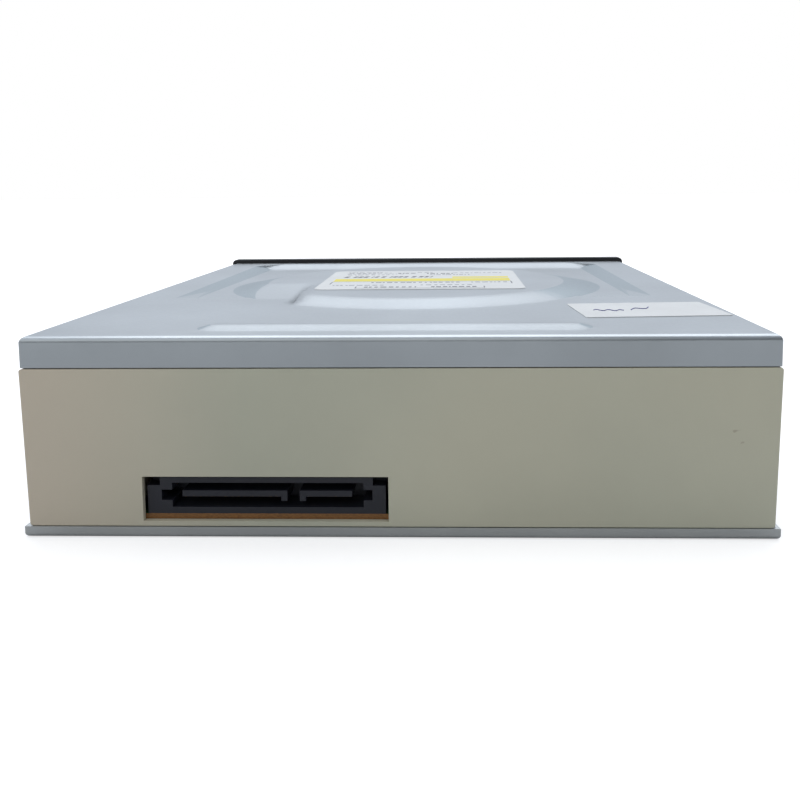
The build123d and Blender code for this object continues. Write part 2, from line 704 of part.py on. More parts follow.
def rod_x(y, z, x0, x1, r):
    return Pos((x0 + x1) / 2, y, z) * Rot(0, 90, 0) * Cylinder(r, x1 - x0)


def cone(x, y, z0, z1, r0, r1):
    return Pos(x, y, (z0 + z1) / 2) * Cone(r0, r1, z1 - z0)


def both_sides(shape):
    return shape + mirror(shape, about=Plane.YZ)


def group(solids):
    """Separate solids of one node, such as a set of screws."""
    joined = solids[0]
    for solid in solids[1:]:
        joined = joined + solid
    return joined


def rounded_plate(x0, x1, y0, y1, z0, z1, r):
    outline = Pos((x0 + x1) / 2, (y0 + y1) / 2, z0) * RectangleRounded(x1 - x0, y1 - y0, r)
    return extrude(outline, amount=z1 - z0)


def side_prism(points, x0, x1):
    """Solid with the outline given as Y, Z points, from x0 to x1."""
    face = make_face(Polyline(*[(x0, y, z) for y, z in points], close=True))
    return extrude(face, amount=x1 - x0, dir=(1, 0, 0))


def hull_of_circles(a, ra, b, rb):
    """Face that a belt round two circles encloses. The circles lie in the XY plane."""
    gap = math.dist(a, b)
    along = math.atan2(b[1] - a[1], b[0] - a[0])
    lean = math.acos((ra - rb) / gap)
    corners = []
    for centre, radius, side in ((a, ra, 1), (b, rb, 1), (b, rb, -1), (a, ra, -1)):
        angle = along + side * lean
        corners.append((centre[0] + radius * math.cos(angle), centre[1] + radius * math.sin(angle)))
    web = make_face(Polyline(*corners, close=True))
    return web + Pos(*a) * Circle(ra) + Pos(*b) * Circle(rb)


def lowered(shape):
    """Turns what the deck carries from its level place to its rest place."""
    return Pos(0, PIVOT_Y, PIVOT_Z) * Rot(-math.degrees(DECK_DROP), 0, 0) * Pos(0, -PIVOT_Y, -PIVOT_Z) * shape


def lowered_z(y, z):
    """Height at rest of a point that lies at y, z while the deck is level."""
    return PIVOT_Z - (y - PIVOT_Y) * math.sin(DECK_DROP) + (z - PIVOT_Z) * math.cos(DECK_DROP)


# Covers

def trapezium(y, depth):
    """Cross section of the sunk field, with side walls that run up to the flat."""
    low = SUNK_HALF_W - SUNK_SIDE_RUN
    corners = [
        (-low, y, FLAT_H - depth), (low, y, FLAT_H - depth),
        (SUNK_HALF_W, y, FLAT_H), (SUNK_HALF_W, y, FLAT_H + CUT),
        (-SUNK_HALF_W, y, FLAT_H + CUT), (-SUNK_HALF_W, y, FLAT_H)]
    return make_face(Polyline(*corners, close=True))


def sunk_field():
    """Recess whose floor falls towards the front, with sloped walls at its two sides and front."""
    ends = [trapezium(SUNK_REAR_Y, SUNK_START), trapezium(SUNK_FRONT_Y, SUNK_DEPTH)]
    field = loft(ends, ruled=True)
    low_z = FLAT_H - 2 * SUNK_DEPTH
    high_z = FLAT_H + SUNK_DEPTH
    front = side_prism(
        [(SUNK_REAR_Y, low_z), (SUNK_FRONT_Y - 2 * SUNK_FRONT_RUN, low_z),
         (SUNK_FRONT_Y + SUNK_FRONT_RUN, high_z), (SUNK_REAR_Y, high_z)],
        -BODY_W / 2, BODY_W / 2)
    outline = rounded_plate(
        -SUNK_HALF_W, SUNK_HALF_W, SUNK_REAR_Y - SUNK_CORNER_R, SUNK_FRONT_Y,
        low_z, FLAT_H + CUT, SUNK_CORNER_R)
    return field & front & outline


def raised_round():
    """Raised round above the disc. Its rear left part falls to the flat in one long ramp."""
    grow = (ROUND_BASE_R - ROUND_TOP_R) / ROUND_H
    foot_r = ROUND_BASE_R + grow * SUNK_DEPTH
    body = cone(0, DISC_Y, FLAT_H - SUNK_DEPTH, FLAT_H + ROUND_H, foot_r, ROUND_TOP_R)
    rise = ROUND_H / (RAMP_LOW_BACK - RAMP_HIGH_BACK)
    rear_y = DISC_Y - foot_r
    front_y = DISC_Y - RAMP_HIGH_BACK + ROUND_H / rise
    low_z = FLAT_H - rise * (DISC_Y - RAMP_LOW_BACK - rear_y)
    ramp_cut = side_prism(
        [(rear_y, low_z), (front_y, FLAT_H + 2 * ROUND_H), (rear_y, FLAT_H + 2 * ROUND_H)],
        -foot_r, -STEP_X)
    return body - ramp_cut


def bead():
    """Long stiffening bead behind the rear edge."""
    y0 = REAR_Y + BEAD_REAR_GAP
    y1 = y0 + BEAD_W
    low = Pos(BEAD_X0 + BEAD_L / 2, (y0 + y1) / 2, FLAT_H) * RectangleRounded(BEAD_L, BEAD_W, BEAD_END_R)
    high = Pos(BEAD_X0 + BEAD_L / 2, (y0 + y1) / 2, FLAT_H + BEAD_H) * RectangleRounded(
        BEAD_L - 2 * BEAD_FLANK, BEAD_W - 2 * BEAD_FLANK, BEAD_END_R - BEAD_FLANK)
    return loft([low, high], ruled=True)


def cover_relief():
    """Solid slab whose upper face is the pressed top of the cover."""
    slab = block(-BODY_W / 2, BODY_W / 2, REAR_Y, BEZEL_Y, FLAT_H - SLAB_T, FLAT_H)
    return slab - sunk_field() + raised_round() + bead()


def side_holes():
    """Cutter for the fixing holes in both side walls."""
    return group([rod_x(y, z, -BODY_W, BODY_W, M3_R) for y in HOLE_ROWS_Y for z in HOLE_ROWS_Z])


def top_cover():
    rear = REAR_Y + SKIRT_SET_IN
    front = BEZEL_Y - SEAM / 2
    half = BODY_W / 2
    shell = block(-half, half, rear, front, CHASSIS_LOW_Z, FLAT_H)
    side_edges = shell.edges().filter_by(Axis.Y).group_by(Axis.Z)[-1]
    rear_edge = shell.edges().filter_by(Axis.X).group_by(Axis.Z)[-1].group_by(Axis.Y)[0]
    shell = fillet(list(side_edges) + list(rear_edge), COVER_BEND_R)
    raised = block(
        -half + COVER_BEND_R, half - COVER_BEND_R, rear + COVER_BEND_R, front,
        FLAT_H - STEEL, FLAT_H + 2 * ROUND_H)
    relief = cover_relief()
    top = (relief - Pos(0, 0, -STEEL) * relief) & (shell + raised)
    inner = block(-STEEL_IN_X, STEEL_IN_X, rear + STEEL, front + CUT, 0, FLAT_H - STEEL)
    walls = shell - inner - block(-half, half, rear - CUT, front + CUT, FLAT_H - STEEL, FLAT_H + CUT)
    walls = walls - block(
        -half - CUT, half + CUT, rear - CUT, PANEL_FRONT_Y + SEAM, 0, FLAT_H - SKIRT_H)
    for y in HOLE_ROWS_Y:
        for z in HOLE_ROWS_Z:
            walls = walls + both_sides(rod_x(y, z, STEEL_IN_X - COLLAR_H, STEEL_IN_X + STEEL / 2, COLLAR_R))
    return walls + top - side_holes()


def bottom_cover():
    half = LIP_W / 2
    front = BEZEL_Y - SEAM / 2
    pan = block(-half, half, REAR_Y, front, 0, LIP_H)
    low = pan.edges().group_by(Axis.Z)[0]
    pan = fillet([e for e in low if e.center().Y < front - CUT], PAN_BEND_R)
    pan = pan - block(-half + PAN_T, half - PAN_T, REAR_Y + PAN_T, front + CUT, PAN_T, LIP_H + CUT)
    for x, y in BOSSES:
        pan = pan + post(x, y, PAN_T / 2, DIMPLE_H + PAN_T, DIMPLE_R + PAN_T)
        pan = pan - post(x, y, -CUT, DIMPLE_H, DIMPLE_R) - post(x, y, 0, LIP_H, SCREW_SHANK_R + SEAM)
    for y in HOLE_ROWS_Y:
        for x in (-BOTTOM_HOLE_X, BOTTOM_HOLE_X):
            pan = pan + post(x, y, PAN_T / 2, PAN_T + COLLAR_H, COLLAR_R)
            pan = pan - post(x, y, -CUT, LIP_H + CUT, M3_R)
    return pan


def cover_screws():
    screws = []
    for x, y in BOSSES:
        head = cone(x, y, DIMPLE_H - SCREW_HEAD_H, DIMPLE_H, SCREW_HEAD_R * 0.8, SCREW_HEAD_R)
        screws.append(head + post(x, y, DIMPLE_H, DIMPLE_H + SCREW_L, SCREW_SHANK_R))
    return group(screws)


# Main chassis

def rear_panel():
    top_z = FLAT_H - SKIRT_H - SEAM
    low_z = LIP_H + SEAM / 2
    corners = [
        (-PANEL_LOW_HALF_W, low_z), (PANEL_LOW_HALF_W, low_z),
        (PANEL_TOP_HALF_W, top_z), (-PANEL_TOP_HALF_W, top_z)]
    face = make_face(Polyline(*corners, close=True))
    panel = extrude(Plane.XZ.offset(-PANEL_REAR_Y) * face, amount=-PANEL_T)
    panel = fillet(panel.edges().filter_by(Axis.Y), PANEL_CORNER_R)
    return panel - block(
        WINDOW_X0, WINDOW_X0 + WINDOW_W, PANEL_REAR_Y - CUT, PANEL_FRONT_Y + CUT,
        WINDOW_Z0, WINDOW_Z0 + WINDOW_H)


def tray_guide():
    """Channel along one side in which the tray's flange runs."""
    rear = PANEL_FRONT_Y
    low = TRAY_Z - GUIDE_GAP
    high = TRAY_Z + TRAY_FLANGE_T + GUIDE_GAP
    inner = TRAY_BODY_HALF_W + GUIDE_GAP + SEAM
    rail = block(inner, WALL_IN_X, rear, CHASSIS_FRONT_Y, low - GUIDE_WALL, high + GUIDE_WALL + SEAM)
    ledge = block(TRAY_HALF_W - GUIDE_LEDGE_IN, WALL_IN_X, rear, CHASSIS_FRONT_Y, low - GUIDE_WALL, low)
    channel = block(0, TRAY_HALF_W + GUIDE_GAP, rear, CHASSIS_FRONT_Y, low, high)
    return rail + ledge - channel


def pivot_post():
    x0 = SWING_HALF_W + CHEEK_GAP
    cheek = block(
        x0, x0 + CHEEK_T, PANEL_FRONT_Y, PIVOT_Y + CHEEK_PAST_PIVOT, FLOOR_Z, PIVOT_Z + CHEEK_ABOVE_PIVOT)
    return cheek - rod_x(PIVOT_Y, PIVOT_Z, x0 - CUT, x0 + CHEEK_T + CUT, TRUNNION_R + SHAFT_FIT)


def cam_guide():
    """Wall, ledge and hooks that keep the cam slider in line."""
    wall_y1 = CAM_WALL_Y + WALL_T
    top = CAM_Z1 + CAM_GUIDE_GAP
    wall = block(-DECK_BAY_HALF_W, DECK_BAY_HALF_W, CAM_WALL_Y, wall_y1, CHASSIS_LOW_Z, FLOOR_TOP)
    half = RACK_X - CAM_WALL_SIDE_GAP
    guide = wall + block(-half, half, CAM_WALL_Y, wall_y1, FLOOR_Z, top)
    guide = guide + block(
        CAM_X0, CAM_X1 + CAM_TRAVEL, CAM_Y0 - LEDGE_LIP, CAM_WALL_Y, CHASSIS_LOW_Z, CAM_Z0 - CAM_GUIDE_GAP)
    for x in (-HOOK_X, HOOK_X):
        guide = guide + block(x - HOOK_W / 2, x + HOOK_W / 2, CAM_Y0 - HOOK_LIP, wall_y1, top, top + HOOK_T)
        guide = guide + block(
            x - RIB_W / 2, x + RIB_W / 2, CAM_Y1 + CAM_GUIDE_GAP, CAM_WALL_Y,
            CAM_Z0 + RIB_RISE, CAM_Z0 + RIB_RISE + RIB_H)
    return guide


def bridge_boss(y):
    """Boss on top of the tray guide for a bridge screw."""
    z0 = TRAY_Z + TRAY_FLANGE_T + GUIDE_WALL / 2
    r = BRIDGE_BOSS_R
    boss = post(BRIDGE_SCREW_X, y, z0, CHASSIS_TOP_Z, r)
    boss = boss + block(BRIDGE_SCREW_X, WALL_IN_X + LAP, y - r, y + r, z0, CHASSIS_TOP_Z)
    return boss - post(
        BRIDGE_SCREW_X, y, CHASSIS_TOP_Z - BRIDGE_SCREW_L, CHASSIS_TOP_Z + CUT, BRIDGE_SCREW_R + SCREW_FIT)


def cover_boss(y, shoulder):
    """Boss for a cover screw. The rear pair has a shoulder that rests on the board."""
    boss = post(BOSS_X, y, DIMPLE_H + PAN_T, FLOOR_TOP, BOSS_R)
    if shoulder:
        z0 = BOARD_TOP + SEAM
        boss = boss + post(BOSS_X, y, z0, FLOOR_TOP, SHOULDER_R)
        boss = boss + block(BOSS_X, WALL_IN_X + LAP, y - BOSS_WEB / 2, y + BOSS_WEB / 2, z0, FLOOR_TOP)
    return boss


def chassis_side():
    side = block(WALL_IN_X, WALL_OUT_X, PANEL_FRONT_Y, CHASSIS_FRONT_Y, CHASSIS_LOW_Z, CHASSIS_TOP_Z)
    side = side + tray_guide() + pivot_post()
    side = side + block(
        DECK_BAY_HALF_W, WALL_IN_X, SIDE_FLOOR_Y, CAM_WALL_Y + WALL_T, FLOOR_Z, FLOOR_TOP)
    for y in BRIDGE_SCREWS_Y:
        side = side + bridge_boss(y)
    return side + cover_boss(BOSS_REAR_Y, True) + cover_boss(BOSS_FRONT_Y, False)


def chassis_front():
    """Floor and front wall round the loading drive, with the pins for its gears."""
    floor = block(-WALL_IN_X, WALL_IN_X, CAM_WALL_Y, CHASSIS_FRONT_Y, FLOOR_Z, FLOOR_TOP)
    floor = floor - post(MOTOR_X, MOTOR_Y, FLOOR_Z - CUT, FLOOR_TOP + CUT, MOTOR_R + SEAT_GAP)
    wall_y = CHASSIS_FRONT_Y - FRONT_WALL_T
    wall = block(
        -WALL_IN_X, WALL_IN_X, wall_y, CHASSIS_FRONT_Y, CHASSIS_LOW_Z, SLOT_Z0 - PINION_UNDER_TRAY)
    wall = wall - block(
        BUTTON_X - BUTTON_W / 2, LAMP_X + LED_W, wall_y - CUT, CHASSIS_FRONT_Y + CUT, FLOOR_TOP, SLOT_Z0)
    wall = wall - rod_y(PIN_HOLE_X, CONTROL_Z, wall_y - CUT, BEZEL_Y, PIN_HOLE_R + SEAT_GAP)
    front = floor + wall
    front = front + post(GEAR_X, GEAR_Y, FLOOR_TOP - LAP, PINION_Z1 - SEAM, GEAR_PIN_R)
    return front + post(
        PULLEY_X, GEAR_Y, FLOOR_TOP - LAP, PULLEY_Z + PULLEY_T + 2 * SEAM, PULLEY_PIN_R)


def main_chassis():
    frame = both_sides(chassis_side()) + rear_panel() + cam_guide() + chassis_front()
    for x, y in BOSSES:
        frame = frame - post(x, y, 0, FLOOR_TOP - BOSS_CAP, SCREW_SHANK_R + SCREW_FIT)
    for y in HOLE_ROWS_Y:
        for z in HOLE_ROWS_Z:
            frame = frame - both_sides(
                rod_x(y, z, WALL_IN_X - 2 * SEAM, BODY_W / 2, SCREW_CLEARANCE_R))
        frame = frame - both_sides(
            post(BOTTOM_HOLE_X, y, 0, CHASSIS_LOW_Z + FOOT_CLEARANCE_H, FOOT_CLEARANCE_R))
    return frame


# Front

def front_bezel():
    half = BEZEL_W / 2
    outline = Plane.XZ.offset(-BEZEL_Y) * Pos(0, BEZEL_H / 2) * RectangleRounded(
        BEZEL_W, BEZEL_H, BEZEL_CORNER_R)
    body = extrude(outline, amount=-BEZEL_T)
    body = fillet(body.faces().sort_by(Axis.Y)[-1].edges(), BEZEL_EDGE_R)
    hollow = block(
        -half + BEZEL_SKIN, half - BEZEL_SKIN, BEZEL_Y - CUT, FRONT_Y - BEZEL_SKIN,
        BEZEL_SKIN, BEZEL_H - BEZEL_SKIN)
    rim = block(
        -SLOT_HALF_W - SLOT_RIM, SLOT_HALF_W + SLOT_RIM, BEZEL_Y, FRONT_Y - BEZEL_SKIN,
        SLOT_Z0 - SLOT_RIM, SLOT_Z1 + SLOT_RIM)
    body = body - (hollow - rim)
    rear = BEZEL_Y - CUT
    front = FRONT_Y + CUT
    body = body - block(-SLOT_HALF_W, SLOT_HALF_W, rear, front, SLOT_Z0, SLOT_Z1)
    body = body - block(
        BUTTON_X - BUTTON_W / 2, BUTTON_X + BUTTON_W / 2, rear, front,
        CONTROL_Z - BUTTON_H / 2, CONTROL_Z + BUTTON_H / 2)
    body = body - rod_y(LAMP_X, CONTROL_Z, rear, front, LAMP_R + LAMP_GAP)
    body = body - rod_y(PIN_HOLE_X, CONTROL_Z, rear, front, PIN_HOLE_R)
    clip_x = WALL_OUT_X + CLIP_GAP
    clip = block(clip_x, clip_x + CLIP_T, BEZEL_Y - CLIP_L, BEZEL_Y + CLIP_T, CLIP_Z0, CLIP_Z1)
    clip = clip + block(clip_x, half - BEZEL_SKIN / 2, BEZEL_Y, BEZEL_Y + CLIP_T, CLIP_Z0, CLIP_Z1)
    return body + both_sides(clip)


def tray_door():
    half = SLOT_HALF_W - DOOR_GAP
    z0 = SLOT_Z0 + DOOR_GAP
    z1 = SLOT_Z1 - DOOR_GAP
    rear = FRONT_Y - DOOR_T
    body = block(-half, half, rear, FRONT_Y, z0, z1)
    body = fillet(body.faces().sort_by(Axis.Y)[-1].edges(), DOOR_EDGE_R)
    return body - block(
        -half + DOOR_RIM, half - DOOR_RIM, rear - CUT, FRONT_Y - DOOR_FACE_T,
        z0 + DOOR_RIM, z1 - DOOR_RIM)


def eject_button():
    half_w = BUTTON_W / 2 - BUTTON_GAP
    half_h = BUTTON_H / 2 - BUTTON_GAP
    cap = block(
        BUTTON_X - half_w, BUTTON_X + half_w, BEZEL_Y + BUTTON_SET_BACK, FRONT_Y,
        CONTROL_Z - half_h, CONTROL_Z + half_h)
    cap = fillet(cap.faces().sort_by(Axis.Y)[-1].edges(), BUTTON_EDGE_R)
    stem_rear = SWITCH_FRONT_Y + PLUNGER_L + BUTTON_LASH
    return cap + rod_y(BUTTON_X, CONTROL_Z, stem_rear, BEZEL_Y + 2 * BUTTON_SET_BACK, STEM_R)


def indicator_window():
    return rod_y(LAMP_X, CONTROL_Z, LED_FRONT_Y + LED_LENS_L + SEAT_GAP, FRONT_Y, LAMP_R)


def front_board():
    front = CHASSIS_FRONT_Y - FRONT_WALL_T - FRONT_BOARD_GAP
    return block(
        BUTTON_X - FRONT_BOARD_PAST_BUTTON, PIN_HOLE_X + FRONT_BOARD_PAST_PIN,
        front - FRONT_BOARD_L, front, FLOOR_TOP, FRONT_BOARD_TOP)


def eject_switch():
    body = block(
        BUTTON_X - SWITCH_W / 2, BUTTON_X + SWITCH_W / 2, SWITCH_FRONT_Y - SWITCH_L, SWITCH_FRONT_Y,
        FRONT_BOARD_TOP, CONTROL_Z + SWITCH_RISE)
    return body - rod_y(
        BUTTON_X, CONTROL_Z, SWITCH_FRONT_Y - PLUNGER_ROOM, SWITCH_FRONT_Y + CUT, PLUNGER_R + SHAFT_FIT)


def switch_plunger():
    return rod_y(
        BUTTON_X, CONTROL_Z, SWITCH_FRONT_Y - PLUNGER_IN, SWITCH_FRONT_Y + PLUNGER_L, PLUNGER_R)


def indicator_led():
    body = block(
        LAMP_X - LED_W / 2, LAMP_X + LED_W / 2, LED_FRONT_Y - LED_L, LED_FRONT_Y,
        FRONT_BOARD_TOP, CONTROL_Z + LED_W / 2)
    return body + rod_y(LAMP_X, CONTROL_Z, LED_FRONT_Y, LED_FRONT_Y + LED_LENS_L, LAMP_R - LAMP_GAP)


def tray_switch():
    y0 = CAM_WALL_Y + TRAY_SWITCH_FROM_WALL
    top = FLOOR_TOP + TRAY_SWITCH_H
    body = block(
        TRAY_SWITCH_X - TRAY_SWITCH_W / 2, TRAY_SWITCH_X + TRAY_SWITCH_W / 2, y0, y0 + TRAY_SWITCH_L,
        FLOOR_TOP, top)
    lever_y = y0 + TRAY_SWITCH_L - 2 * LEVER_T
    return body + block(
        TRAY_SWITCH_X - LEVER_W / 2, TRAY_SWITCH_X + LEVER_W / 2, lever_y - LEVER_T, lever_y,
        top, top + LEVER_H)


# Loading drive

def involute(angle):
    return math.tan(angle) - angle


def gear_face(teeth, module, phase):
    """Gear outline with involute flanks. One tooth is centred at the angle phase."""
    pitch_r = module * teeth / 2
    base_r = pitch_r * math.cos(PRESSURE_ANGLE)
    tip_r = pitch_r + ADDENDUM * module
    root_r = pitch_r - DEDENDUM * module
    half_tooth = (math.pi * module / 2 - TOOTH_SLACK) / 2 / pitch_r + involute(PRESSURE_ANGLE)
    low_r = max(base_r, root_r + TOOTH_FOOT)
    flank = []
    for r in (root_r, low_r, (low_r + tip_r) / 2, tip_r):
        spread = involute(math.acos(min(1, base_r / r)))
        flank.append((r, half_tooth - spread))
    points = []
    for tooth in range(teeth):
        middle = phase + tooth * 2 * math.pi / teeth
        turns = [(r, middle - a) for r, a in flank] + [(r, middle + a) for r, a in reversed(flank)]
        points += [(r * math.cos(a), r * math.sin(a)) for r, a in turns]
    return make_face(Polyline(*points, close=True))


def drive_gear():
    wheel = extrude(
        Pos(GEAR_X, GEAR_Y, WHEEL_Z) * gear_face(WHEEL_TEETH, WHEEL_MODULE, math.pi), amount=WHEEL_T)
    pinion = extrude(
        Pos(GEAR_X, GEAR_Y, PINION_Z1 - GEAR_FACE) * gear_face(PINION_TEETH, RACK_MODULE, 0),
        amount=GEAR_FACE)
    gear = wheel + post(GEAR_X, GEAR_Y, FLOOR_TOP + SEAT_GAP, PINION_Z1, HUB_R) + pinion
    return gear - post(GEAR_X, GEAR_Y, FLOOR_TOP, TRAY_Z, GEAR_PIN_R + SHAFT_FIT)


def pulley_gear():
    phase = math.pi / SMALL_TEETH
    small = extrude(
        Pos(PULLEY_X, GEAR_Y, WHEEL_Z) * gear_face(SMALL_TEETH, WHEEL_MODULE, phase), amount=WHEEL_T)
    hub = post(PULLEY_X, GEAR_Y, FLOOR_TOP + SEAT_GAP, PULLEY_Z + SHAFT_FIT, SMALL_HUB_R)
    gear = small + hub + grooved_pulley(PULLEY_X, GEAR_Y, PULLEY_R, PULLEY_GROOVE_R)
    return gear - post(PULLEY_X, GEAR_Y, FLOOR_TOP, PULLEY_Z + PULLEY_T + CUT, PULLEY_PIN_R + SHAFT_FIT)


def grooved_pulley(x, y, rim_r, groove_r):
    rim = post(x, y, PULLEY_Z, PULLEY_Z + PULLEY_T, rim_r)
    groove = post(x, y, GROOVE_Z - GROOVE_H / 2, GROOVE_Z + GROOVE_H / 2, rim_r + CUT)
    return rim - (groove - post(x, y, GROOVE_Z - GROOVE_H, GROOVE_Z + GROOVE_H, groove_r))


def loader_motor():
    can = post(MOTOR_X, MOTOR_Y, MOTOR_Z0, MOTOR_Z1, MOTOR_R)
    can = fillet(can.edges().group_by(Axis.Z)[0], MOTOR_EDGE_R)
    can = can + post(MOTOR_X, MOTOR_Y, MOTOR_Z1 - SHAFT_FIT, MOTOR_Z1 + MOTOR_BOSS_H, MOTOR_BOSS_R)
    return can - post(
        MOTOR_X, MOTOR_Y, MOTOR_Z1 - SHAFT_ROOM, MOTOR_Z1 + MOTOR_BOSS_H + CUT, MOTOR_SHAFT_R + SHAFT_FIT)


def motor_shaft():
    return post(
        MOTOR_X, MOTOR_Y, MOTOR_Z1 - SHAFT_IN, PULLEY_Z + PULLEY_T + SHAFT_OUT, MOTOR_SHAFT_R)


def motor_pulley():
    pulley = grooved_pulley(MOTOR_X, MOTOR_Y, MOTOR_PULLEY_R, MOTOR_GROOVE_R)
    return pulley - post(MOTOR_X, MOTOR_Y, PULLEY_Z - CUT, PULLEY_Z + PULLEY_T + CUT, MOTOR_SHAFT_R)


def drive_belt():
    big = (PULLEY_X, GEAR_Y)
    small = (MOTOR_X, MOTOR_Y)
    inner_big = PULLEY_GROOVE_R + BELT_GAP
    inner_small = MOTOR_GROOVE_R + BELT_GAP
    inner = hull_of_circles(big, inner_big, small, inner_small)
    outer = hull_of_circles(big, inner_big + BELT_T, small, inner_small + BELT_T)
    return extrude(Pos(0, 0, GROOVE_Z - BELT_H / 2) * (outer - inner), amount=BELT_H)


def cam_slot(pin_x):
    """Stepped slot in the slider: level at both ends, with a ramp between."""
    low = lowered_z((CAM_Y0 + CAM_Y1) / 2, CAM_PIN_Z)
    r = CAM_PIN_R + CAM_SLOT_GAP
    path = [
        (pin_x + CAM_DWELL, low), (pin_x, low),
        (pin_x - CAM_TRAVEL, CAM_PIN_Z), (pin_x - CAM_TRAVEL - CAM_DWELL, CAM_PIN_Z)]
    face = None
    for a, b in zip(path, path[1:]):
        run = hull_of_circles(a, r, b, r)
        face = run if face is None else face + run
    return extrude(Plane.XZ.offset(CUT - CAM_Y0) * face, amount=-(CAM_T + 2 * CUT))


def cam_slider():
    body = block(CAM_X0, CAM_X1, CAM_Y0, CAM_Y1, CAM_Z0, CAM_Z1)
    body = fillet(body.edges().filter_by(Axis.Y), CAM_EDGE_R)
    for x in (-CAM_PIN_X, CAM_PIN_X):
        body = body - cam_slot(x)
    recess_x1 = CAM_PIN_X - CAM_TRAVEL - CAM_DWELL - CAM_RECESS_GAP
    return body - block(
        recess_x1 - CAM_RECESS_W, recess_x1, CAM_Y0 - CUT, CAM_Y0 + CAM_RECESS_DEPTH,
        CAM_Z0 + CAM_RECESS_RIM, CAM_Z1 - CAM_RECESS_RIM)


# Tray

def tray_rack():
    """Rack under the tray, with a gap between two teeth at the drive gear."""
    pitch = math.pi * RACK_MODULE
    rear = TRAY_REAR_Y + RACK_END
    front = GEAR_Y + RACK_PAST_GEAR
    body_x = RACK_X + DEDENDUM * RACK_MODULE
    half = pitch / 4 - TOOTH_SLACK / 2
    lean = RACK_MODULE * math.tan(PRESSURE_ANGLE)
    tip = half - ADDENDUM * lean
    root = half + DEDENDUM * lean
    tip_x = RACK_X - ADDENDUM * RACK_MODULE
    points = [(body_x, front), (RACK_X + RACK_DEPTH, front), (RACK_X + RACK_DEPTH, rear), (body_x, rear)]
    first = math.ceil((rear + root - GEAR_Y) / pitch - 0.5)
    last = math.floor((front - root - GEAR_Y) / pitch - 0.5)
    for n in range(first, last + 1):
        y = GEAR_Y + (n + 0.5) * pitch
        points += [(body_x, y - root), (tip_x, y - tip), (tip_x, y + tip), (body_x, y + root)]
    face = make_face(Polyline(*points, close=True))
    return extrude(Pos(0, 0, TRAY_Z - RACK_T) * face, amount=RACK_T + LAP)


def tray_window():
    """Opening for the turntable and the pickup."""
    z0 = TRAY_Z - CUT
    z1 = TRAY_Z + TRAY_H + CUT
    window = post(0, DISC_Y, z0, z1, TRAY_WINDOW_HALF_W)
    return window + block(
        -TRAY_WINDOW_HALF_W, TRAY_WINDOW_HALF_W, TRAY_WINDOW_REAR_Y, DISC_Y, z0, z1)


def disc_tray():
    top = TRAY_Z + TRAY_H
    front = FRONT_Y - DOOR_T
    half = TRAY_BODY_HALF_W
    tray = rounded_plate(
        -TRAY_HALF_W, TRAY_HALF_W, TRAY_REAR_Y, front, TRAY_Z, TRAY_Z + TRAY_FLANGE_T, TRAY_CORNER_R)
    tray = tray + block(-half, half, TRAY_BAR_FRONT_Y, front, TRAY_Z, top)
    hollow = block(
        -half + TRAY_SKIN, half - TRAY_SKIN, TRAY_BAR_FRONT_Y + TRAY_SKIN, front - TRAY_SKIN,
        TRAY_Z - CUT, top - TRAY_SKIN)
    hollow = hollow - post(0, DISC_Y, TRAY_Z - 2 * CUT, top, WELL_R + TRAY_SKIN)
    rack_land = block(RACK_X - CUT, RACK_X + RACK_DEPTH, TRAY_REAR_Y, front, TRAY_Z - CUT, top)
    tray = tray - (hollow - rack_land)
    tray = tray - post(0, DISC_Y, TRAY_Z + WELL_FLOOR_T, top + CUT, WELL_R)
    tray = tray - post(0, DISC_Y, TRAY_Z + SMALL_WELL_FLOOR_T, top + CUT, SMALL_WELL_R)
    tray = tray - tray_window()
    tray = tray - post(0, DISC_Y + WELL_R + FINGER_OUT, TRAY_Z + WELL_FLOOR_T, top + CUT, FINGER_R)
    for angle in TAB_ANGLES:
        x = (WELL_R - TAB_INSET) * math.cos(math.radians(angle))
        y = DISC_Y + (WELL_R - TAB_INSET) * math.sin(math.radians(angle))
        tray = tray + Pos(x, y, top) * Rot(0, 0, angle) * Box(TAB_W, TAB_L, TAB_T)
    wall_half = TRAY_HALF_W - TRAY_FRONT_WALL_SET_IN
    tray = tray + block(
        -wall_half, wall_half, front - TRAY_FRONT_WALL_T, front,
        TRAY_Z, SLOT_Z1 - DOOR_GAP - DOOR_RIM - BUTTON_EDGE_R)
    return tray + tray_rack()


# Clamp

def clamper_bridge():
    y0 = DISC_Y - BRIDGE_HALF_Y
    y1 = DISC_Y + BRIDGE_HALF_Y
    plate = block(
        -WALL_OUT_X, WALL_OUT_X, DISC_Y - BRIDGE_WAIST_Y, DISC_Y + BRIDGE_WAIST_Y, BRIDGE_Z, BRIDGE_TOP)
    plate = plate + rounded_plate(
        -BRIDGE_HALF_X, BRIDGE_HALF_X, y0, y1, BRIDGE_Z, BRIDGE_TOP, BRIDGE_CORNER_R)
    for y in (y0, y1 - BRIDGE_T):
        plate = plate + block(
            -BRIDGE_FLANGE_HALF_X, BRIDGE_FLANGE_HALF_X, y, y + BRIDGE_T,
            BRIDGE_Z, BRIDGE_TOP + BRIDGE_FLANGE_H)
    plate = plate - post(0, DISC_Y, BRIDGE_Z - CUT, BRIDGE_TOP + CUT, BRIDGE_HOLE_R)
    for y in BRIDGE_SCREWS_Y:
        plate = plate - both_sides(
            post(BRIDGE_SCREW_X, y, BRIDGE_Z - CUT, BRIDGE_TOP + CUT, BRIDGE_SCREW_R + SCREW_HOLE_FIT))
    return plate


def bridge_screws():
    screws = []
    for x in (-BRIDGE_SCREW_X, BRIDGE_SCREW_X):
        for y in BRIDGE_SCREWS_Y:
            head = post(x, y, BRIDGE_TOP, BRIDGE_TOP + BRIDGE_HEAD_H, BRIDGE_HEAD_R)
            screws.append(head + post(x, y, BRIDGE_TOP - BRIDGE_SCREW_L, BRIDGE_TOP, BRIDGE_SCREW_R))
    return group(screws)


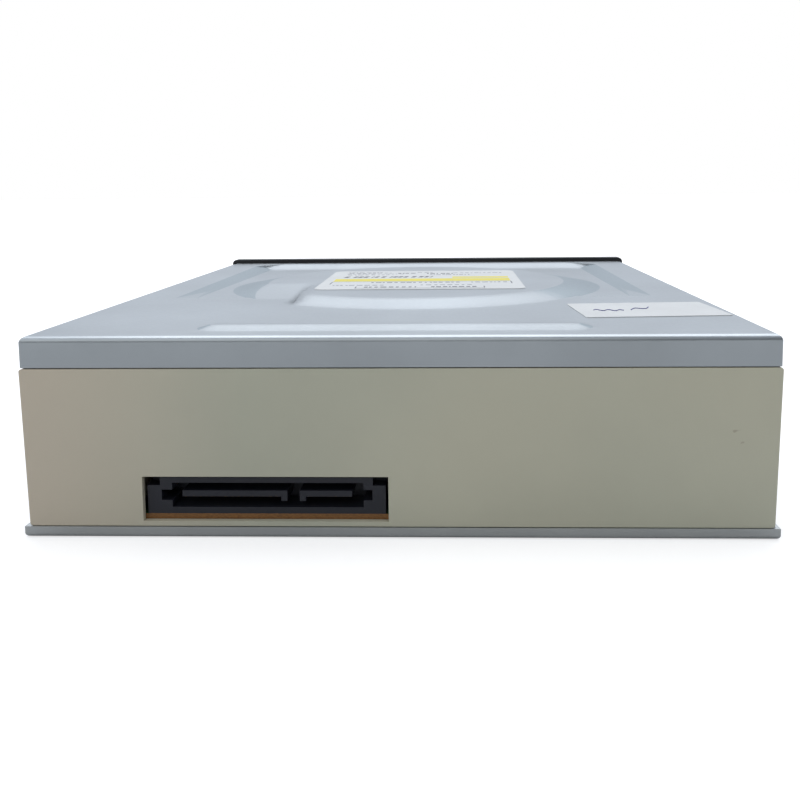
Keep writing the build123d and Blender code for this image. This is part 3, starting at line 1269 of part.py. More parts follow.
def clamper_puck():
    top = PUCK_FLANGE_Z + PUCK_FLANGE_T
    body = post(0, DISC_Y, PUCK_Z, PUCK_FLANGE_Z, PUCK_R)
    body = body + post(0, DISC_Y, PUCK_FLANGE_Z, top, PUCK_FLANGE_R)
    body = body - post(0, DISC_Y, PUCK_Z - CUT, PUCK_Z + PUCK_HUB_DEPTH, HUB_BASE_R + PUCK_HUB_ROOM)
    cup = post(0, DISC_Y, PUCK_Z + PUCK_HUB_DEPTH + PUCK_FLOOR, top + CUT, PUCK_R - PUCK_WALL)
    yoke_seat = post(0, DISC_Y, PUCK_Z, PUCK_FLANGE_Z - YOKE_SINK, YOKE_R - YOKE_POST_IN)
    return body - (cup - yoke_seat)


def clamper_yoke():
    seat = PUCK_FLANGE_Z - YOKE_SINK
    return post(0, DISC_Y, seat, seat + YOKE_T, YOKE_R)


# Deck, drawn level

def swing_frame():
    ring = rounded_plate(
        -SWING_HALF_W, SWING_HALF_W, SWING_REAR_Y, SWING_FRONT_Y, SWING_Z0, SWING_Z1, SWING_CORNER_R)
    ring = ring - block(
        -SWING_INNER_X, SWING_INNER_X, SWING_REAR_Y + SWING_END_BAR, SWING_FRONT_Y - 2 * SWING_END_BAR,
        SWING_Z0 - CUT, SWING_Z1 + CUT)
    for y in GROMMET_ROWS_Y:
        ring = ring + both_sides(block(
            GROMMET_X - DECK_TAB_HALF, SWING_INNER_X + CUT, y - DECK_TAB_HALF, y + DECK_TAB_HALF,
            SWING_Z0, DECK_Z - GROMMET_BELOW))
    ring = ring + both_sides(
        rod_x(PIVOT_Y, PIVOT_Z, SWING_HALF_W - CUT, SWING_HALF_W + TRUNNION_L, TRUNNION_R))
    lug = block(
        CAM_PIN_X - LUG_W / 2, CAM_PIN_X + LUG_W / 2, SWING_FRONT_Y - LUG_T, SWING_FRONT_Y,
        SWING_Z0, CAM_PIN_Z + LUG_ABOVE_PIN)
    pin = rod_y(CAM_PIN_X, CAM_PIN_Z, SWING_FRONT_Y - CUT, CAM_Y1 + CAM_PIN_END, CAM_PIN_R)
    ring = ring + both_sides(lug + pin)
    for y in GROMMET_ROWS_Y:
        ring = ring - both_sides(
            post(GROMMET_X, y, SWING_Z0 - CUT, SWING_Z1, DECK_SCREW_R + SCREW_FIT))
    return ring


def deck_plate():
    z0 = DECK_Z - CUT
    z1 = DECK_TOP + CUT
    plate = rounded_plate(
        -DECK_HALF_W, DECK_HALF_W, DECK_REAR_Y, DECK_FRONT_Y, DECK_Z, DECK_TOP, DECK_CORNER_R)
    plate = plate - block(
        -DECK_WINDOW_HALF_W, DECK_WINDOW_HALF_W, DECK_WINDOW_REAR_Y, DECK_WINDOW_FRONT_Y, z0, z1)
    plate = plate - post(0, DISC_Y, z0, z1, SPINDLE_HOLE_R)
    plate = plate - block(
        SCREW_X - STEPPER_R - STEPPER_GAP, DECK_HALF_W + CUT, SCREW_FRONT_Y - STEPPER_SEAT,
        SCREW_FRONT_Y + STEPPER_L + 3 * STEPPER_SEAT, z0, z1)
    for y in GROMMET_ROWS_Y:
        plate = plate - both_sides(post(GROMMET_X, y, z0, z1, GROMMET_NECK_R + SCREW_FIT))
    return plate


def grommets():
    rings = []
    low = DECK_Z - GROMMET_BELOW
    high = DECK_TOP + GROMMET_ABOVE
    for x in (-GROMMET_X, GROMMET_X):
        for y in GROMMET_ROWS_Y:
            spool = post(x, y, low, DECK_Z, GROMMET_R) + post(x, y, DECK_TOP, high, GROMMET_R)
            spool = spool + post(x, y, low, high, GROMMET_NECK_R)
            rings.append(spool - post(x, y, low - CUT, high + CUT, DECK_SCREW_R + SCREW_HOLE_FIT))
    return group(rings)


def deck_screws():
    screws = []
    seat = DECK_TOP + GROMMET_ABOVE
    for x in (-GROMMET_X, GROMMET_X):
        for y in GROMMET_ROWS_Y:
            head = post(x, y, seat, seat + DECK_SCREW_HEAD_H, DECK_SCREW_HEAD_R)
            screws.append(head + post(x, y, SWING_Z0 + SEAT_GAP, seat, DECK_SCREW_R))
    return group(screws)


def motor_plate():
    plate = rounded_plate(
        -MOTOR_PLATE_HALF_W, MOTOR_PLATE_HALF_W, DISC_Y - MOTOR_PLATE_BEHIND, DISC_Y + MOTOR_PLATE_AHEAD,
        DECK_Z - MOTOR_PLATE_T, DECK_Z, SWING_CORNER_R)
    return plate - post(0, DISC_Y, DECK_Z - MOTOR_PLATE_T - CUT, DECK_Z + CUT, MOTOR_PLATE_HOLE_R)


def spindle_bearing():
    body = post(0, DISC_Y, DECK_Z, ROTOR_Z1 - ROTOR_WALL - STATOR_RISE, BEARING_R)
    return body - post(0, DISC_Y, DECK_Z + BEARING_FLOOR, ROTOR_Z1, SPINDLE_SHAFT_R + SHAFT_FIT)


def stator():
    z0 = ROTOR_Z0 + STATOR_RISE
    z1 = z0 + STATOR_T
    yoke_r = STATOR_R - STATOR_YOKE_W
    body = post(0, DISC_Y, z0, z1, yoke_r)
    for n in range(STATOR_ARMS):
        arm = Pos(0, DISC_Y, (z0 + z1) / 2) * Rot(0, 0, n * 360 / STATOR_ARMS) * Pos(yoke_r, 0, 0)
        body = body + arm * Box(STATOR_ARM_L, STATOR_ARM_W, STATOR_T)
    return body - post(0, DISC_Y, z0 - CUT, z1 + CUT, BEARING_R)


def spindle_rotor():
    cup = post(0, DISC_Y, ROTOR_Z0, ROTOR_Z1, ROTOR_R)
    cup = fillet(cup.edges().group_by(Axis.Z)[-1], ROTOR_EDGE_R)
    cup = cup - post(0, DISC_Y, ROTOR_Z0 - CUT, ROTOR_Z1 - ROTOR_WALL, ROTOR_R - ROTOR_WALL)
    return cup + post(0, DISC_Y, DECK_Z + SHAFT_ABOVE_DECK, ROTOR_Z1 - SHAFT_FIT, SPINDLE_SHAFT_R)


def turntable():
    body = post(0, DISC_Y, ROTOR_Z1, TURNTABLE_TOP, TURNTABLE_R)
    return fillet(body.edges().group_by(Axis.Z)[0], TURNTABLE_EDGE_R)


def turntable_ring():
    outer = TURNTABLE_R - RUBBER_SET_IN
    ring = post(0, DISC_Y, TURNTABLE_TOP, TURNTABLE_TOP + RUBBER_T, outer)
    return ring - post(0, DISC_Y, TURNTABLE_TOP - CUT, TURNTABLE_TOP + CUT, outer - RUBBER_W)


def centring_hub():
    return cone(0, DISC_Y, TURNTABLE_TOP, TURNTABLE_TOP + HUB_H, HUB_BASE_R, HUB_TOP_R)


def guide_rods():
    rear = DECK_WINDOW_REAR_Y - ROD_PAST_WINDOW
    front = DECK_WINDOW_FRONT_Y + ROD_PAST_WINDOW
    return group([rod_y(x, ROD_Z, rear, front, ROD_R) for x in (-ROD_X, ROD_X)])


def rod_clips():
    """Small steel caps that hold the rod ends against the deck plate."""
    clips = []
    for x in (-ROD_X, ROD_X):
        for y in (DECK_WINDOW_REAR_Y - ROD_CLIP_L - ROD_CLIP_T, DECK_WINDOW_FRONT_Y + ROD_CLIP_T):
            clip = block(
                x - ROD_CLIP_HALF_W, x + ROD_CLIP_HALF_W, y, y + ROD_CLIP_L,
                ROD_Z - ROD_R - ROD_CLIP_T, DECK_Z)
            clips.append(clip - rod_y(x, ROD_Z, y - CUT, y + ROD_CLIP_L + CUT, ROD_R))
    return group(clips)


def screw_bracket():
    rear = SCREW_REAR_Y - BRACKET_T
    front = SCREW_FRONT_Y + STEPPER_SEAT
    side_x = SCREW_X + STEPPER_R - BRACKET_T
    z0 = SCREW_Z - BRACKET_DROP
    bracket = block(side_x, side_x + BRACKET_T, rear, front, z0, DECK_Z)
    for y in (rear, front - BRACKET_T):
        bracket = bracket + block(
            SCREW_X - BRACKET_EAR_IN, side_x + BRACKET_T, y, y + BRACKET_T, z0, DECK_Z)
    return bracket - rod_y(SCREW_X, SCREW_Z, rear - CUT, front + CUT, JOURNAL_R + ROD_FIT)


def stepper_motor():
    y0 = SCREW_FRONT_Y + STEPPER_SEAT
    can = rod_y(SCREW_X, SCREW_Z, y0, y0 + STEPPER_L, STEPPER_R)
    return can - rod_y(SCREW_X, SCREW_Z, y0 - CUT, y0 + JOURNAL_FRONT_L, JOURNAL_R + ROD_FIT)


def lead_screw():
    body = rod_y(SCREW_X, SCREW_Z, SCREW_REAR_Y + SEAM, SCREW_FRONT_Y, SCREW_R)
    return body + rod_y(
        SCREW_X, SCREW_Z, SCREW_REAR_Y - JOURNAL_REAR_L, SCREW_FRONT_Y + JOURNAL_FRONT_L, JOURNAL_R)


# Sled, drawn level

def spindle_room(z0, z1):
    """Room for the turntable when the sled is fully in."""
    return post(0, DISC_Y, z0, z1, TURNTABLE_R + SPINDLE_ROOM)


def pickup_housing():
    y0 = SLED_REAR_Y
    y1 = SLED_FRONT_Y
    bush_y0 = y0 + SLED_END_GAP
    bush_y1 = y1 - SLED_END_GAP
    bore = ROD_R + ROD_FIT
    body = block(-SLED_HALF_W, SLED_HALF_W, y0, y1, SLED_Z0, SLED_Z1)
    body = fillet(body.edges().filter_by(Axis.Z), SLED_CORNER_R)
    body = body - spindle_room(SLED_Z0 - CUT, SLED_Z1 + CUT)
    body = body + block(
        SLED_HALF_W - CUT, ROD_X, bush_y0, bush_y1, ROD_Z - SLED_ARM_HALF_T, ROD_Z + SLED_ARM_HALF_T)
    body = body + rod_y(ROD_X, ROD_Z, bush_y0, bush_y1, BUSH_R)
    body = body + block(
        -ROD_X - FORK_PAST_ROD, -SLED_HALF_W + CUT, LENS_Y - FORK_BACK, LENS_Y + FORK_AHEAD,
        ROD_Z - BUSH_R, ROD_Z + BUSH_R)
    body = body - rod_y(ROD_X, ROD_Z, y0 - CUT, y1 + CUT, bore)
    body = body - block(-ROD_X - 2 * FORK_PAST_ROD, -ROD_X + bore, y0, y1, ROD_Z - bore, ROD_Z + bore)
    body = body - block(
        -SLED_HALF_W + SLED_SHELL, SLED_HALF_W - SLED_SHELL, y0 + SLED_SHELL, LENS_Y - POCKET_TO_LENS,
        SLED_Z0 - CUT, SLED_Z0 + SLED_POCKET_H)
    return body - rod_y(LASER_X, LASER_Z, y0 - CUT, y0 + LASER_SET_IN + LASER_L, LASER_R + LASER_FIT)


def laser_diode():
    y0 = SLED_REAR_Y + LASER_SET_IN
    can = rod_y(LASER_X, LASER_Z, y0, y0 + LASER_L, LASER_R)
    for n in (-1, 0, 1):
        can = can + rod_y(
            LASER_X + n * LASER_LEG_PITCH, LASER_Z, y0 - LASER_LEG_OUT, y0 + LASER_L / 2, LASER_LEG_R)
    return can


def nut_arm():
    y0 = SLED_REAR_Y + NUT_ARM_SET_IN
    y1 = y0 + NUT_ARM_L
    z0 = SLED_Z0 - NUT_ARM_T
    arm = block(SLED_HALF_W - NUT_ARM_LAP, SCREW_X + NUT_HALF_W, y0, y1, z0, SLED_Z0)
    return arm + block(
        SCREW_X - NUT_HALF_W, SCREW_X + NUT_HALF_W, y0, y1, z0, SCREW_Z - SCREW_R - NUT_GAP)


def actuator_base():
    base = block(
        -BASE_HALF_W, BASE_HALF_W, LENS_Y - BASE_BACK, LENS_Y + BASE_AHEAD, SLED_Z1, SLED_Z1 + BASE_T)
    for y0 in (LENS_Y - YOKE_BACK, LENS_Y + YOKE_AHEAD):
        base = base + block(-YOKE_HALF_W, YOKE_HALF_W, y0, y0 + YOKE_WALL, SLED_Z1, SLED_Z1 + YOKE_H)
    return base - spindle_room(SLED_Z1 - CUT, SLED_Z1 + YOKE_H + CUT)


def actuator_magnets():
    magnets = []
    for y0 in (LENS_Y - YOKE_BACK + YOKE_WALL, LENS_Y + YOKE_AHEAD - MAGNET_T):
        magnets.append(block(
            -MAGNET_HALF_W, MAGNET_HALF_W, y0, y0 + MAGNET_T, SLED_Z1 + BASE_T, SLED_Z1 + YOKE_H))
    return group(magnets)


def wire_holder():
    y0 = LENS_Y - WIRE_HOLDER_BACK
    z0 = SLED_Z1 + BASE_T
    return block(
        -WIRE_HOLDER_HALF_W, WIRE_HOLDER_HALF_W, y0, y0 + WIRE_HOLDER_L, z0, z0 + WIRE_HOLDER_H)


def lens_holder():
    half = LENS_HOLDER_HALF
    body = block(
        -LENS_HOLDER_HALF_W, LENS_HOLDER_HALF_W, LENS_Y - half, LENS_Y + half,
        LENS_HOLDER_Z0, LENS_HOLDER_Z1)
    body = fillet(body.edges().filter_by(Axis.Z), LENS_HOLDER_EDGE_R)
    body = body + post(
        0, LENS_Y, LENS_HOLDER_Z1 - LAP, LENS_HOLDER_Z1 + LENS_RING_H, LENS_RADIUS + LENS_RING_W)
    return body - post(0, LENS_Y, LENS_HOLDER_Z0 - CUT, LENS_HOLDER_Z1 + CUT, LENS_RADIUS)


def objective_lens():
    dome_h = LENS_RISE - LENS_EDGE
    dome_r = (LENS_RADIUS ** 2 + dome_h ** 2) / (2 * dome_h)
    ball = Pos(0, LENS_Y, LENS_TOP_Z - dome_r) * Sphere(dome_r)
    return post(0, LENS_Y, LENS_HOLDER_Z1 - LENS_SEAT, LENS_TOP_Z, LENS_RADIUS) & ball


# Main board

def main_board():
    board = block(-BOARD_HALF_W, BOARD_HALF_W, BOARD_REAR_Y, BOARD_FRONT_Y, BOARD_Z, BOARD_TOP)
    return board - both_sides(
        post(BOSS_X, BOSS_REAR_Y, BOARD_Z - CUT, BOARD_TOP + CUT, BOSS_R + BOSS_BOARD_GAP))


def tongue(x0, x1, leg_x0):
    """Contact carrier with the short leg that keys the plug."""
    y0 = BOARD_REAR_Y + TONGUE_SET_IN
    y1 = BOARD_REAR_Y + CAVITY_DEPTH + LAP
    bar = block(x0, x1, y0, y1, TONGUE_Z0, TONGUE_Z1)
    return bar + block(leg_x0, leg_x0 + TONGUE_LEG_W, y0, y1, TONGUE_Z0 - TONGUE_LEG_H, TONGUE_Z0 + LAP)


def sata_connector():
    y0 = BOARD_REAR_Y
    cavity_y1 = y0 + CAVITY_DEPTH
    body = block(CONN_X0, CONN_X1, y0, y0 + CONN_DEPTH, BOARD_TOP, CONN_TOP_Z)
    body = body - block(CAVITY_X0, CAVITY_X1, y0 - CUT, cavity_y1, CAVITY_Z0, CAVITY_Z1)
    body = body - block(KEY_X0, KEY_X1, y0 - CUT, cavity_y1, KEY_Z0, KEY_Z1)
    for x0 in (CONN_X0 - CUT, CONN_X1 - CORNER_NOTCH_W):
        body = body - block(
            x0, x0 + CORNER_NOTCH_W + CUT, y0 - CUT, y0 + CORNER_NOTCH_L,
            CONN_TOP_Z - CORNER_NOTCH_H, CONN_TOP_Z + CUT)
    body = body + tongue(POWER_X0, POWER_X1, POWER_X1 - TONGUE_LEG_W)
    return body + tongue(SIGNAL_X0, SIGNAL_X1, SIGNAL_X0)


def connector_contacts():
    y0 = BOARD_REAR_Y + CONTACT_SET_IN
    y1 = BOARD_REAR_Y + CAVITY_DEPTH
    strips = []
    power_mid = (POWER_X0 + POWER_X1 - TONGUE_LEG_W) / 2
    signal_mid = (SIGNAL_X0 + TONGUE_LEG_W + SIGNAL_X1) / 2
    for middle, count in ((power_mid, POWER_CONTACTS), (signal_mid, SIGNAL_CONTACTS)):
        for n in range(count):
            x = middle + (n - (count - 1) / 2) * CONTACT_PITCH
            strips.append(block(
                x - CONTACT_W / 2, x + CONTACT_W / 2, y0, y1, TONGUE_Z0 - CONTACT_T, TONGUE_Z0))
    return group(strips)


def part_on_board(x, y, w, length, z0, z1):
    """Small part at x, with y counted from the rear edge of the board."""
    y = y + BOARD_REAR_Y
    return block(x - w / 2, x + w / 2, y - length / 2, y + length / 2, z0, z1)


def board_chips():
    """Controller and motor driver under the board, memory on top of it."""
    return group([
        part_on_board(*CONTROLLER, BOARD_Z - CHIP_H, BOARD_Z),
        part_on_board(*MOTOR_DRIVER, BOARD_Z - CHIP_H, BOARD_Z),
        part_on_board(*MEMORY, BOARD_TOP, BOARD_TOP + CHIP_H)])


def thermal_pad():
    x, y, w, length = CONTROLLER
    return part_on_board(x, y, w - 2 * PAD_MARGIN, length - 2 * PAD_MARGIN, PAN_T, BOARD_Z - CHIP_H)


def cable_sockets():
    y = BOARD_L - SOCKET_FROM_FRONT
    return group([
        part_on_board(x, y, w, SOCKET_L, BOARD_TOP, BOARD_TOP + SOCKET_H)
        for x, w in (PICKUP_SOCKET, MOTOR_SOCKET)])


def capacitors():
    cans = []
    for side, from_side, y in CANS:
        can = post(
            side * (BOARD_HALF_W - from_side), BOARD_REAR_Y + y, BOARD_TOP, BOARD_TOP + CAN_H, CAN_R)
        cans.append(fillet(can.edges().group_by(Axis.Z)[-1], CAN_EDGE_R))
    return group(cans)


def chip_parts():
    parts = [part_on_board(*CRYSTAL, BOARD_TOP, BOARD_TOP + CHIP_H)]
    for x0, pitch, count, y in SMALL_ROWS:
        for n in range(count):
            parts.append(part_on_board(
                x0 + n * pitch, y, SMALL_PART_W, SMALL_PART_L, BOARD_TOP, BOARD_TOP + SMALL_PART_H))
    return group(parts)


# Stickers

def sticker(x, y, w, h, z, corner_r, turn):
    outline = Pos(x, y, z) * Rot(0, 0, turn) * RectangleRounded(w, h, corner_r)
    return extrude(outline, amount=LABEL_T)


def product_label():
    return sticker(
        LABEL_X, DISC_Y + LABEL_AHEAD, LABEL_W, LABEL_H, FLAT_H + ROUND_H, LABEL_CORNER_R, LABEL_TURN)


def small_sticker():
    return sticker(
        BODY_W / 2 - STICKER_FROM_SIDE, REAR_Y + STICKER_FROM_REAR, STICKER_W, STICKER_H, FLAT_H,
        STICKER_CORNER_R, STICKER_TURN)


LEVEL_PIECES = {
    "swing_frame": swing_frame,
    "deck_plate": deck_plate,
    "grommets": grommets,
    "deck_screws": deck_screws,
    "motor_plate": motor_plate,
    "spindle_bearing": spindle_bearing,
    "stator": stator,
    "guide_rods": guide_rods,
    "rod_clips": rod_clips,
    "screw_bracket": screw_bracket,
    "stepper_motor": stepper_motor,
    "lead_screw": lead_screw,
    "spindle_rotor": spindle_rotor,
    "turntable": turntable,
    "turntable_ring": turntable_ring,
    "centring_hub": centring_hub,
    "pickup_housing": pickup_housing,
    "laser_diode": laser_diode,
    "nut_arm": nut_arm,
    "actuator_base": actuator_base,
    "actuator_magnets": actuator_magnets,
    "wire_holder": wire_holder,
    "lens_holder": lens_holder,
    "objective_lens": objective_lens,
}

FIXED_PIECES = {
    "top_cover": top_cover,
    "bottom_cover": bottom_cover,
    "cover_screws": cover_screws,
    "main_chassis": main_chassis,
    "front_bezel": front_bezel,
    "tray_door": tray_door,
    "eject_button": eject_button,
    "indicator_window": indicator_window,
    "front_board": front_board,
    "eject_switch": eject_switch,
    "switch_plunger": switch_plunger,
    "indicator_led": indicator_led,
    "tray_switch": tray_switch,
    "drive_gear": drive_gear,
    "pulley_gear": pulley_gear,
    "loader_motor": loader_motor,
    "motor_shaft": motor_shaft,
    "motor_pulley": motor_pulley,
    "drive_belt": drive_belt,
    "cam_slider": cam_slider,
    "disc_tray": disc_tray,
    "clamper_bridge": clamper_bridge,
    "bridge_screws": bridge_screws,
    "clamper_puck": clamper_puck,
    "clamper_yoke": clamper_yoke,
    "main_board": main_board,
    "sata_connector": sata_connector,
    "connector_contacts": connector_contacts,
    "board_chips": board_chips,
    "thermal_pad": thermal_pad,
    "cable_sockets": cable_sockets,
    "capacitors": capacitors,
    "chip_parts": chip_parts,
    "product_label": product_label,
    "small_sticker": small_sticker,
}


def main():
    os.makedirs("parts", exist_ok=True)
    for name, make in FIXED_PIECES.items():
        export_step(make(), f"parts/{name}.step")
    for name, make in LEVEL_PIECES.items():
        export_step(lowered(make()), f"parts/{name}.step")


main()
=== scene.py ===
"""Looks of the internal DVD drive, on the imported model's own pieces, in metres."""
import math
import random

import bmesh
import bpy
from mathutils import Matrix, Vector

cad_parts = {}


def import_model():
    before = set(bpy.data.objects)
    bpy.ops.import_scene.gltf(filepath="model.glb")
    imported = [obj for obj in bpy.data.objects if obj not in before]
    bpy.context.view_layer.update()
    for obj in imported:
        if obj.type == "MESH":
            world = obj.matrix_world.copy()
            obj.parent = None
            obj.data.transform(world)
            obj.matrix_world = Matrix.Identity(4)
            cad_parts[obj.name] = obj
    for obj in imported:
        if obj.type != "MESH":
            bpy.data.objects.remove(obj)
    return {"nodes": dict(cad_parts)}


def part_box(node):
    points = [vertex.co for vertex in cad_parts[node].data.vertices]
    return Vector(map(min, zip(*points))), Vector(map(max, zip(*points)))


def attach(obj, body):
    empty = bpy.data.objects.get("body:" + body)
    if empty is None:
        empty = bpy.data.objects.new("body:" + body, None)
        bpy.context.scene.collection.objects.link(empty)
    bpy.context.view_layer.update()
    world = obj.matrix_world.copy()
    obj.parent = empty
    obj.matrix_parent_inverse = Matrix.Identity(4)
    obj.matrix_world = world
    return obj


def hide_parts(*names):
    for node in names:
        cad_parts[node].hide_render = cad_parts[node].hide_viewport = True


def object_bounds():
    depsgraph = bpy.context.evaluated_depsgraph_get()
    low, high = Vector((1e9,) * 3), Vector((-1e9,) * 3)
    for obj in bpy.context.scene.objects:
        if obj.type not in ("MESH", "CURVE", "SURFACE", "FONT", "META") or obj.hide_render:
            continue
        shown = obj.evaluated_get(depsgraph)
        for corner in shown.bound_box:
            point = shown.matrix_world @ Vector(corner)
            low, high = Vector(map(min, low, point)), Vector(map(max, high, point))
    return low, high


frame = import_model()
cad_low, cad_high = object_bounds()
nodes = frame["nodes"]

MM = 0.001

# Camera, from the photograph's vanishing lines against the standard width of the drive.
# It stands behind the rear panel, which faces -Y, and its place is in millimetres.
CAMERA_X = 12.0
CAMERA_BEHIND = 163.4       # behind the rear panel
CAMERA_Z = 67.8
CAMERA_NEAREST = 10.0
PITCH_DEG = 5.78
YAW_DEG = -1.91
ROLL_DEG = -0.53
FOCAL_PX = 871.7
CENTRE_PX = (429.0, 275.9)
IMAGE_PX = 800
SENSOR_MM = 36.0

# Floor, with lengths in metres. Its own glow turns it to plain white away from the drive.
FLOOR_HALF = 6.0
FLOOR_DROP = 0.00005        # below the drive, so that the two share no plane
FLOOR_COLOUR = (0.6, 0.6, 0.6, 1)
FLOOR_ROUGHNESS = 0.9
FLOOR_GLOW = 0.6            # near the drive, towards the camera
FLOOR_NEAR = 0.3            # distance from the middle up to which the glow stays that low
FLOOR_FAR = 1.2             # and from which on it is full

# Room that the surfaces mirror: direction from -1 to 1, and the level there, along Y from the
# rear to the front, and upwards
ROOM_TINT = (0.946, 0.98, 1.037)
ROOM_ALONG = ((-0.8, 0.22), (-0.4, 0.5), (0.1, 1.0))
ROOM_UP = ((-0.1, 0.6), (0.22, 0.66), (0.5, 1.0))
ROOM_DIFFUSE = 0.75         # share of it that lights matt surfaces

# Lamps: name, place, aim and both sides in metres, and power in watts
LAMPS = (
    ("overhead", (0.0, 0.15, 0.9), (0, 0, 0), (1.0, 0.9), 4.2),
    ("rear_fill", (-0.35, -1.0, 0.75), (0, -0.05, 0.02), (1.4, 0.9), 2.75),
    ("front_fill", (0.0, 1.3, 0.85), (0, 0.05, 0.02), (1.6, 0.7), 2.2),
)

# Colours as they look, in sRGB from 0 to 255
COVER_STEEL = (174, 180, 183)
SHADED_WALL_STEEL = (134, 150, 156)      # painted shade on the walls of the pressed relief that face sideways
PLAIN_STEEL = (170, 174, 178)
ROD_STEEL = (196, 198, 202)
LIP_STEEL = (193, 196, 195)
DIE_CAST = (150, 152, 155)
IVORY = (207, 207, 185)
WARM_IVORY = (213, 203, 177)
AGED_IVORY = (221, 205, 184)      # towards the left side as seen from the rear
SPECK_BROWN = (150, 128, 100)
# painted shade with brown dirt, in the panel's seams
SEAM_SHADE_AND_DIRT = (104, 78, 52)
BLACK = (32, 32, 34)
CONNECTOR_BLACK = (34, 36, 45)
TRAY_BLACK = (38, 38, 40)
CHIP_BLACK = (30, 30, 31)
RUBBER = (26, 26, 27)
ACETAL = (222, 220, 210)
LAMP_CLEAR = (222, 236, 222)
LENS_CLEAR = (196, 206, 244)
BOARD_GREEN = (34, 84, 48)
BOARD_EDGE = (142, 98, 52)
PAD_GREY = (138, 150, 160)
GOLD = (206, 166, 84)
COPPER = (178, 104, 54)
PAPER = (212, 214, 213)
LABEL_YELLOW = (226, 212, 50)
PRINT_GREY = (84, 86, 92)
FAINT_PRINT = 1.35                # times as light as the other print
PEN_BLUE = (52, 56, 128)

# Shading of the cover's pressed relief, and of the painted shade with dirt in the panel's seams,
# in millimetres
RELIEF_RADIUS = 5.0
RELIEF_SAMPLES = 8
RELIEF_MARGIN = 7.0               # rim of the cover that keeps its own normal
RELIEF_FADE = 0.7                 # share of the rim's width where the softening starts
SEAM_WIDTH = 1.4
SEAM_SAMPLES = 6

# Where a second colour lies over the first: stops of a factor from 0 to 1, and the share of the
# second colour there
WALL_SHADE_STOPS = ((0.002, 0), (0.04, 0.7))      # by how far a wall of the relief faces sideways, for its painted shade
WARM_STOPS = ((0.45, 0), (0.75, 0.5))       # by noise
AGED_STOPS = ((0, 0.75), (0.3, 0))          # by place, from the left as seen from the rear
SPECK_STOPS = ((0.82, 0), (0.85, 0.4))      # by noise
SEAM_SHADE_STOPS = ((0.25, 0.6), (0.8, 0))        # by how open the place is, for the painted shade and dirt in the seams
PATCH_STOPS = ((0.4, 0.1), (0.62, 1))       # by noise, for how much of the painted shade and dirt in the seams is there

# Product label, as in the part's source, in millimetres and degrees
LABEL_W = 56.0
LABEL_H = 50.0
LABEL_CORNER = 2.5
LABEL_TURN = 0.6
CORNER_STEPS = 6
PRINT_T = 0.01
INK_ROUGHNESS = 0.5

# Printed shapes on the label, in millimetres from its middle. Bands and lines: left, right,
# lower and upper edge. Rows of dashes: y, height, left and right end.
PRINT_EDGE = 25.2
BOX_EDGE = 17.2
LINE_HALF = 0.15
YELLOW_BANDS = ((-PRINT_EDGE, PRINT_EDGE, -5.6, 1.4), (8.8, PRINT_EDGE, 2.8, 6.6))
LINES = (
    (-PRINT_EDGE - LINE_HALF, -PRINT_EDGE + LINE_HALF, -12.5, -6.8),
    (-BOX_EDGE - LINE_HALF, -BOX_EDGE + LINE_HALF, -22.4, -18.6),
    (PRINT_EDGE - LINE_HALF, PRINT_EDGE + LINE_HALF, -12.5, -6.8),
    (BOX_EDGE - LINE_HALF, BOX_EDGE + LINE_HALF, -22.4, -18.6),
    (-BOX_EDGE, BOX_EDGE, -22.7, -22.3),
    (-PRINT_EDGE, PRINT_EDGE, -6.7, -6.4),
)
FAINT_ROWS = (
    (20.0, 0.9, -23.5, -12.0), (20.0, 0.9, -2.0, 3.0), (18.2, 0.9, -23.0, -10.0),
    (17.6, 0.9, 9.0, 24.0), (15.8, 1.0, -23.5, -14.0), (15.4, 1.0, -11.0, -6.0),
    (12.8, 1.1, -23.0, -10.0), (12.4, 1.1, 2.0, 14.0), (-9.0, 1.2, 14.0, 24.0),
    (-15.4, 1.1, -24.0, -10.0), (-15.4, 1.1, 0.0, 14.0),
)
BOLD_ROW = (6.4, 3.6, -23.5, 2.5)
DARK_ROWS = (
    (17.4, 1.6, -8.0, -2.0), (16.2, 1.8, 1.0, 9.0), (-8.8, 1.3, -14.0, 11.0),
    (-20.0, 1.8, -15.0, -1.0), (-20.0, 1.8, 3.0, 15.5),
)
PRINT_SEED = 4
SHORTEST_DASH = 0.4
SHORTEST_GAP = 0.3

# Pen strokes on the small sticker, in millimetres from its middle: start and end along X, rise
# on the way, number of waves, and half their height
PEN_STROKES = ((-12.0, -5.4, -0.6, 2.5, 1.0), (-3.6, 1.2, 4.6, 1.0, 1.5))
PEN_Y = -1.5
PEN_RADIUS = 0.13
PEN_LIFT = 0.03                   # of the stroke's middle above the paper
PEN_POINTS = 15


def linear(rgb):
    """Colour given as it looks, as the linear value that a shader takes."""
    out = []
    for value in rgb:
        c = value / 255
        out.append(c / 12.92 if c <= 0.04045 else ((c + 0.055) / 1.055) ** 2.4)
    return (*out, 1.0)


def shade(rgb, factor):
    """Colour that looks darker or lighter by a factor."""
    return tuple(min(255, value * factor) for value in rgb)


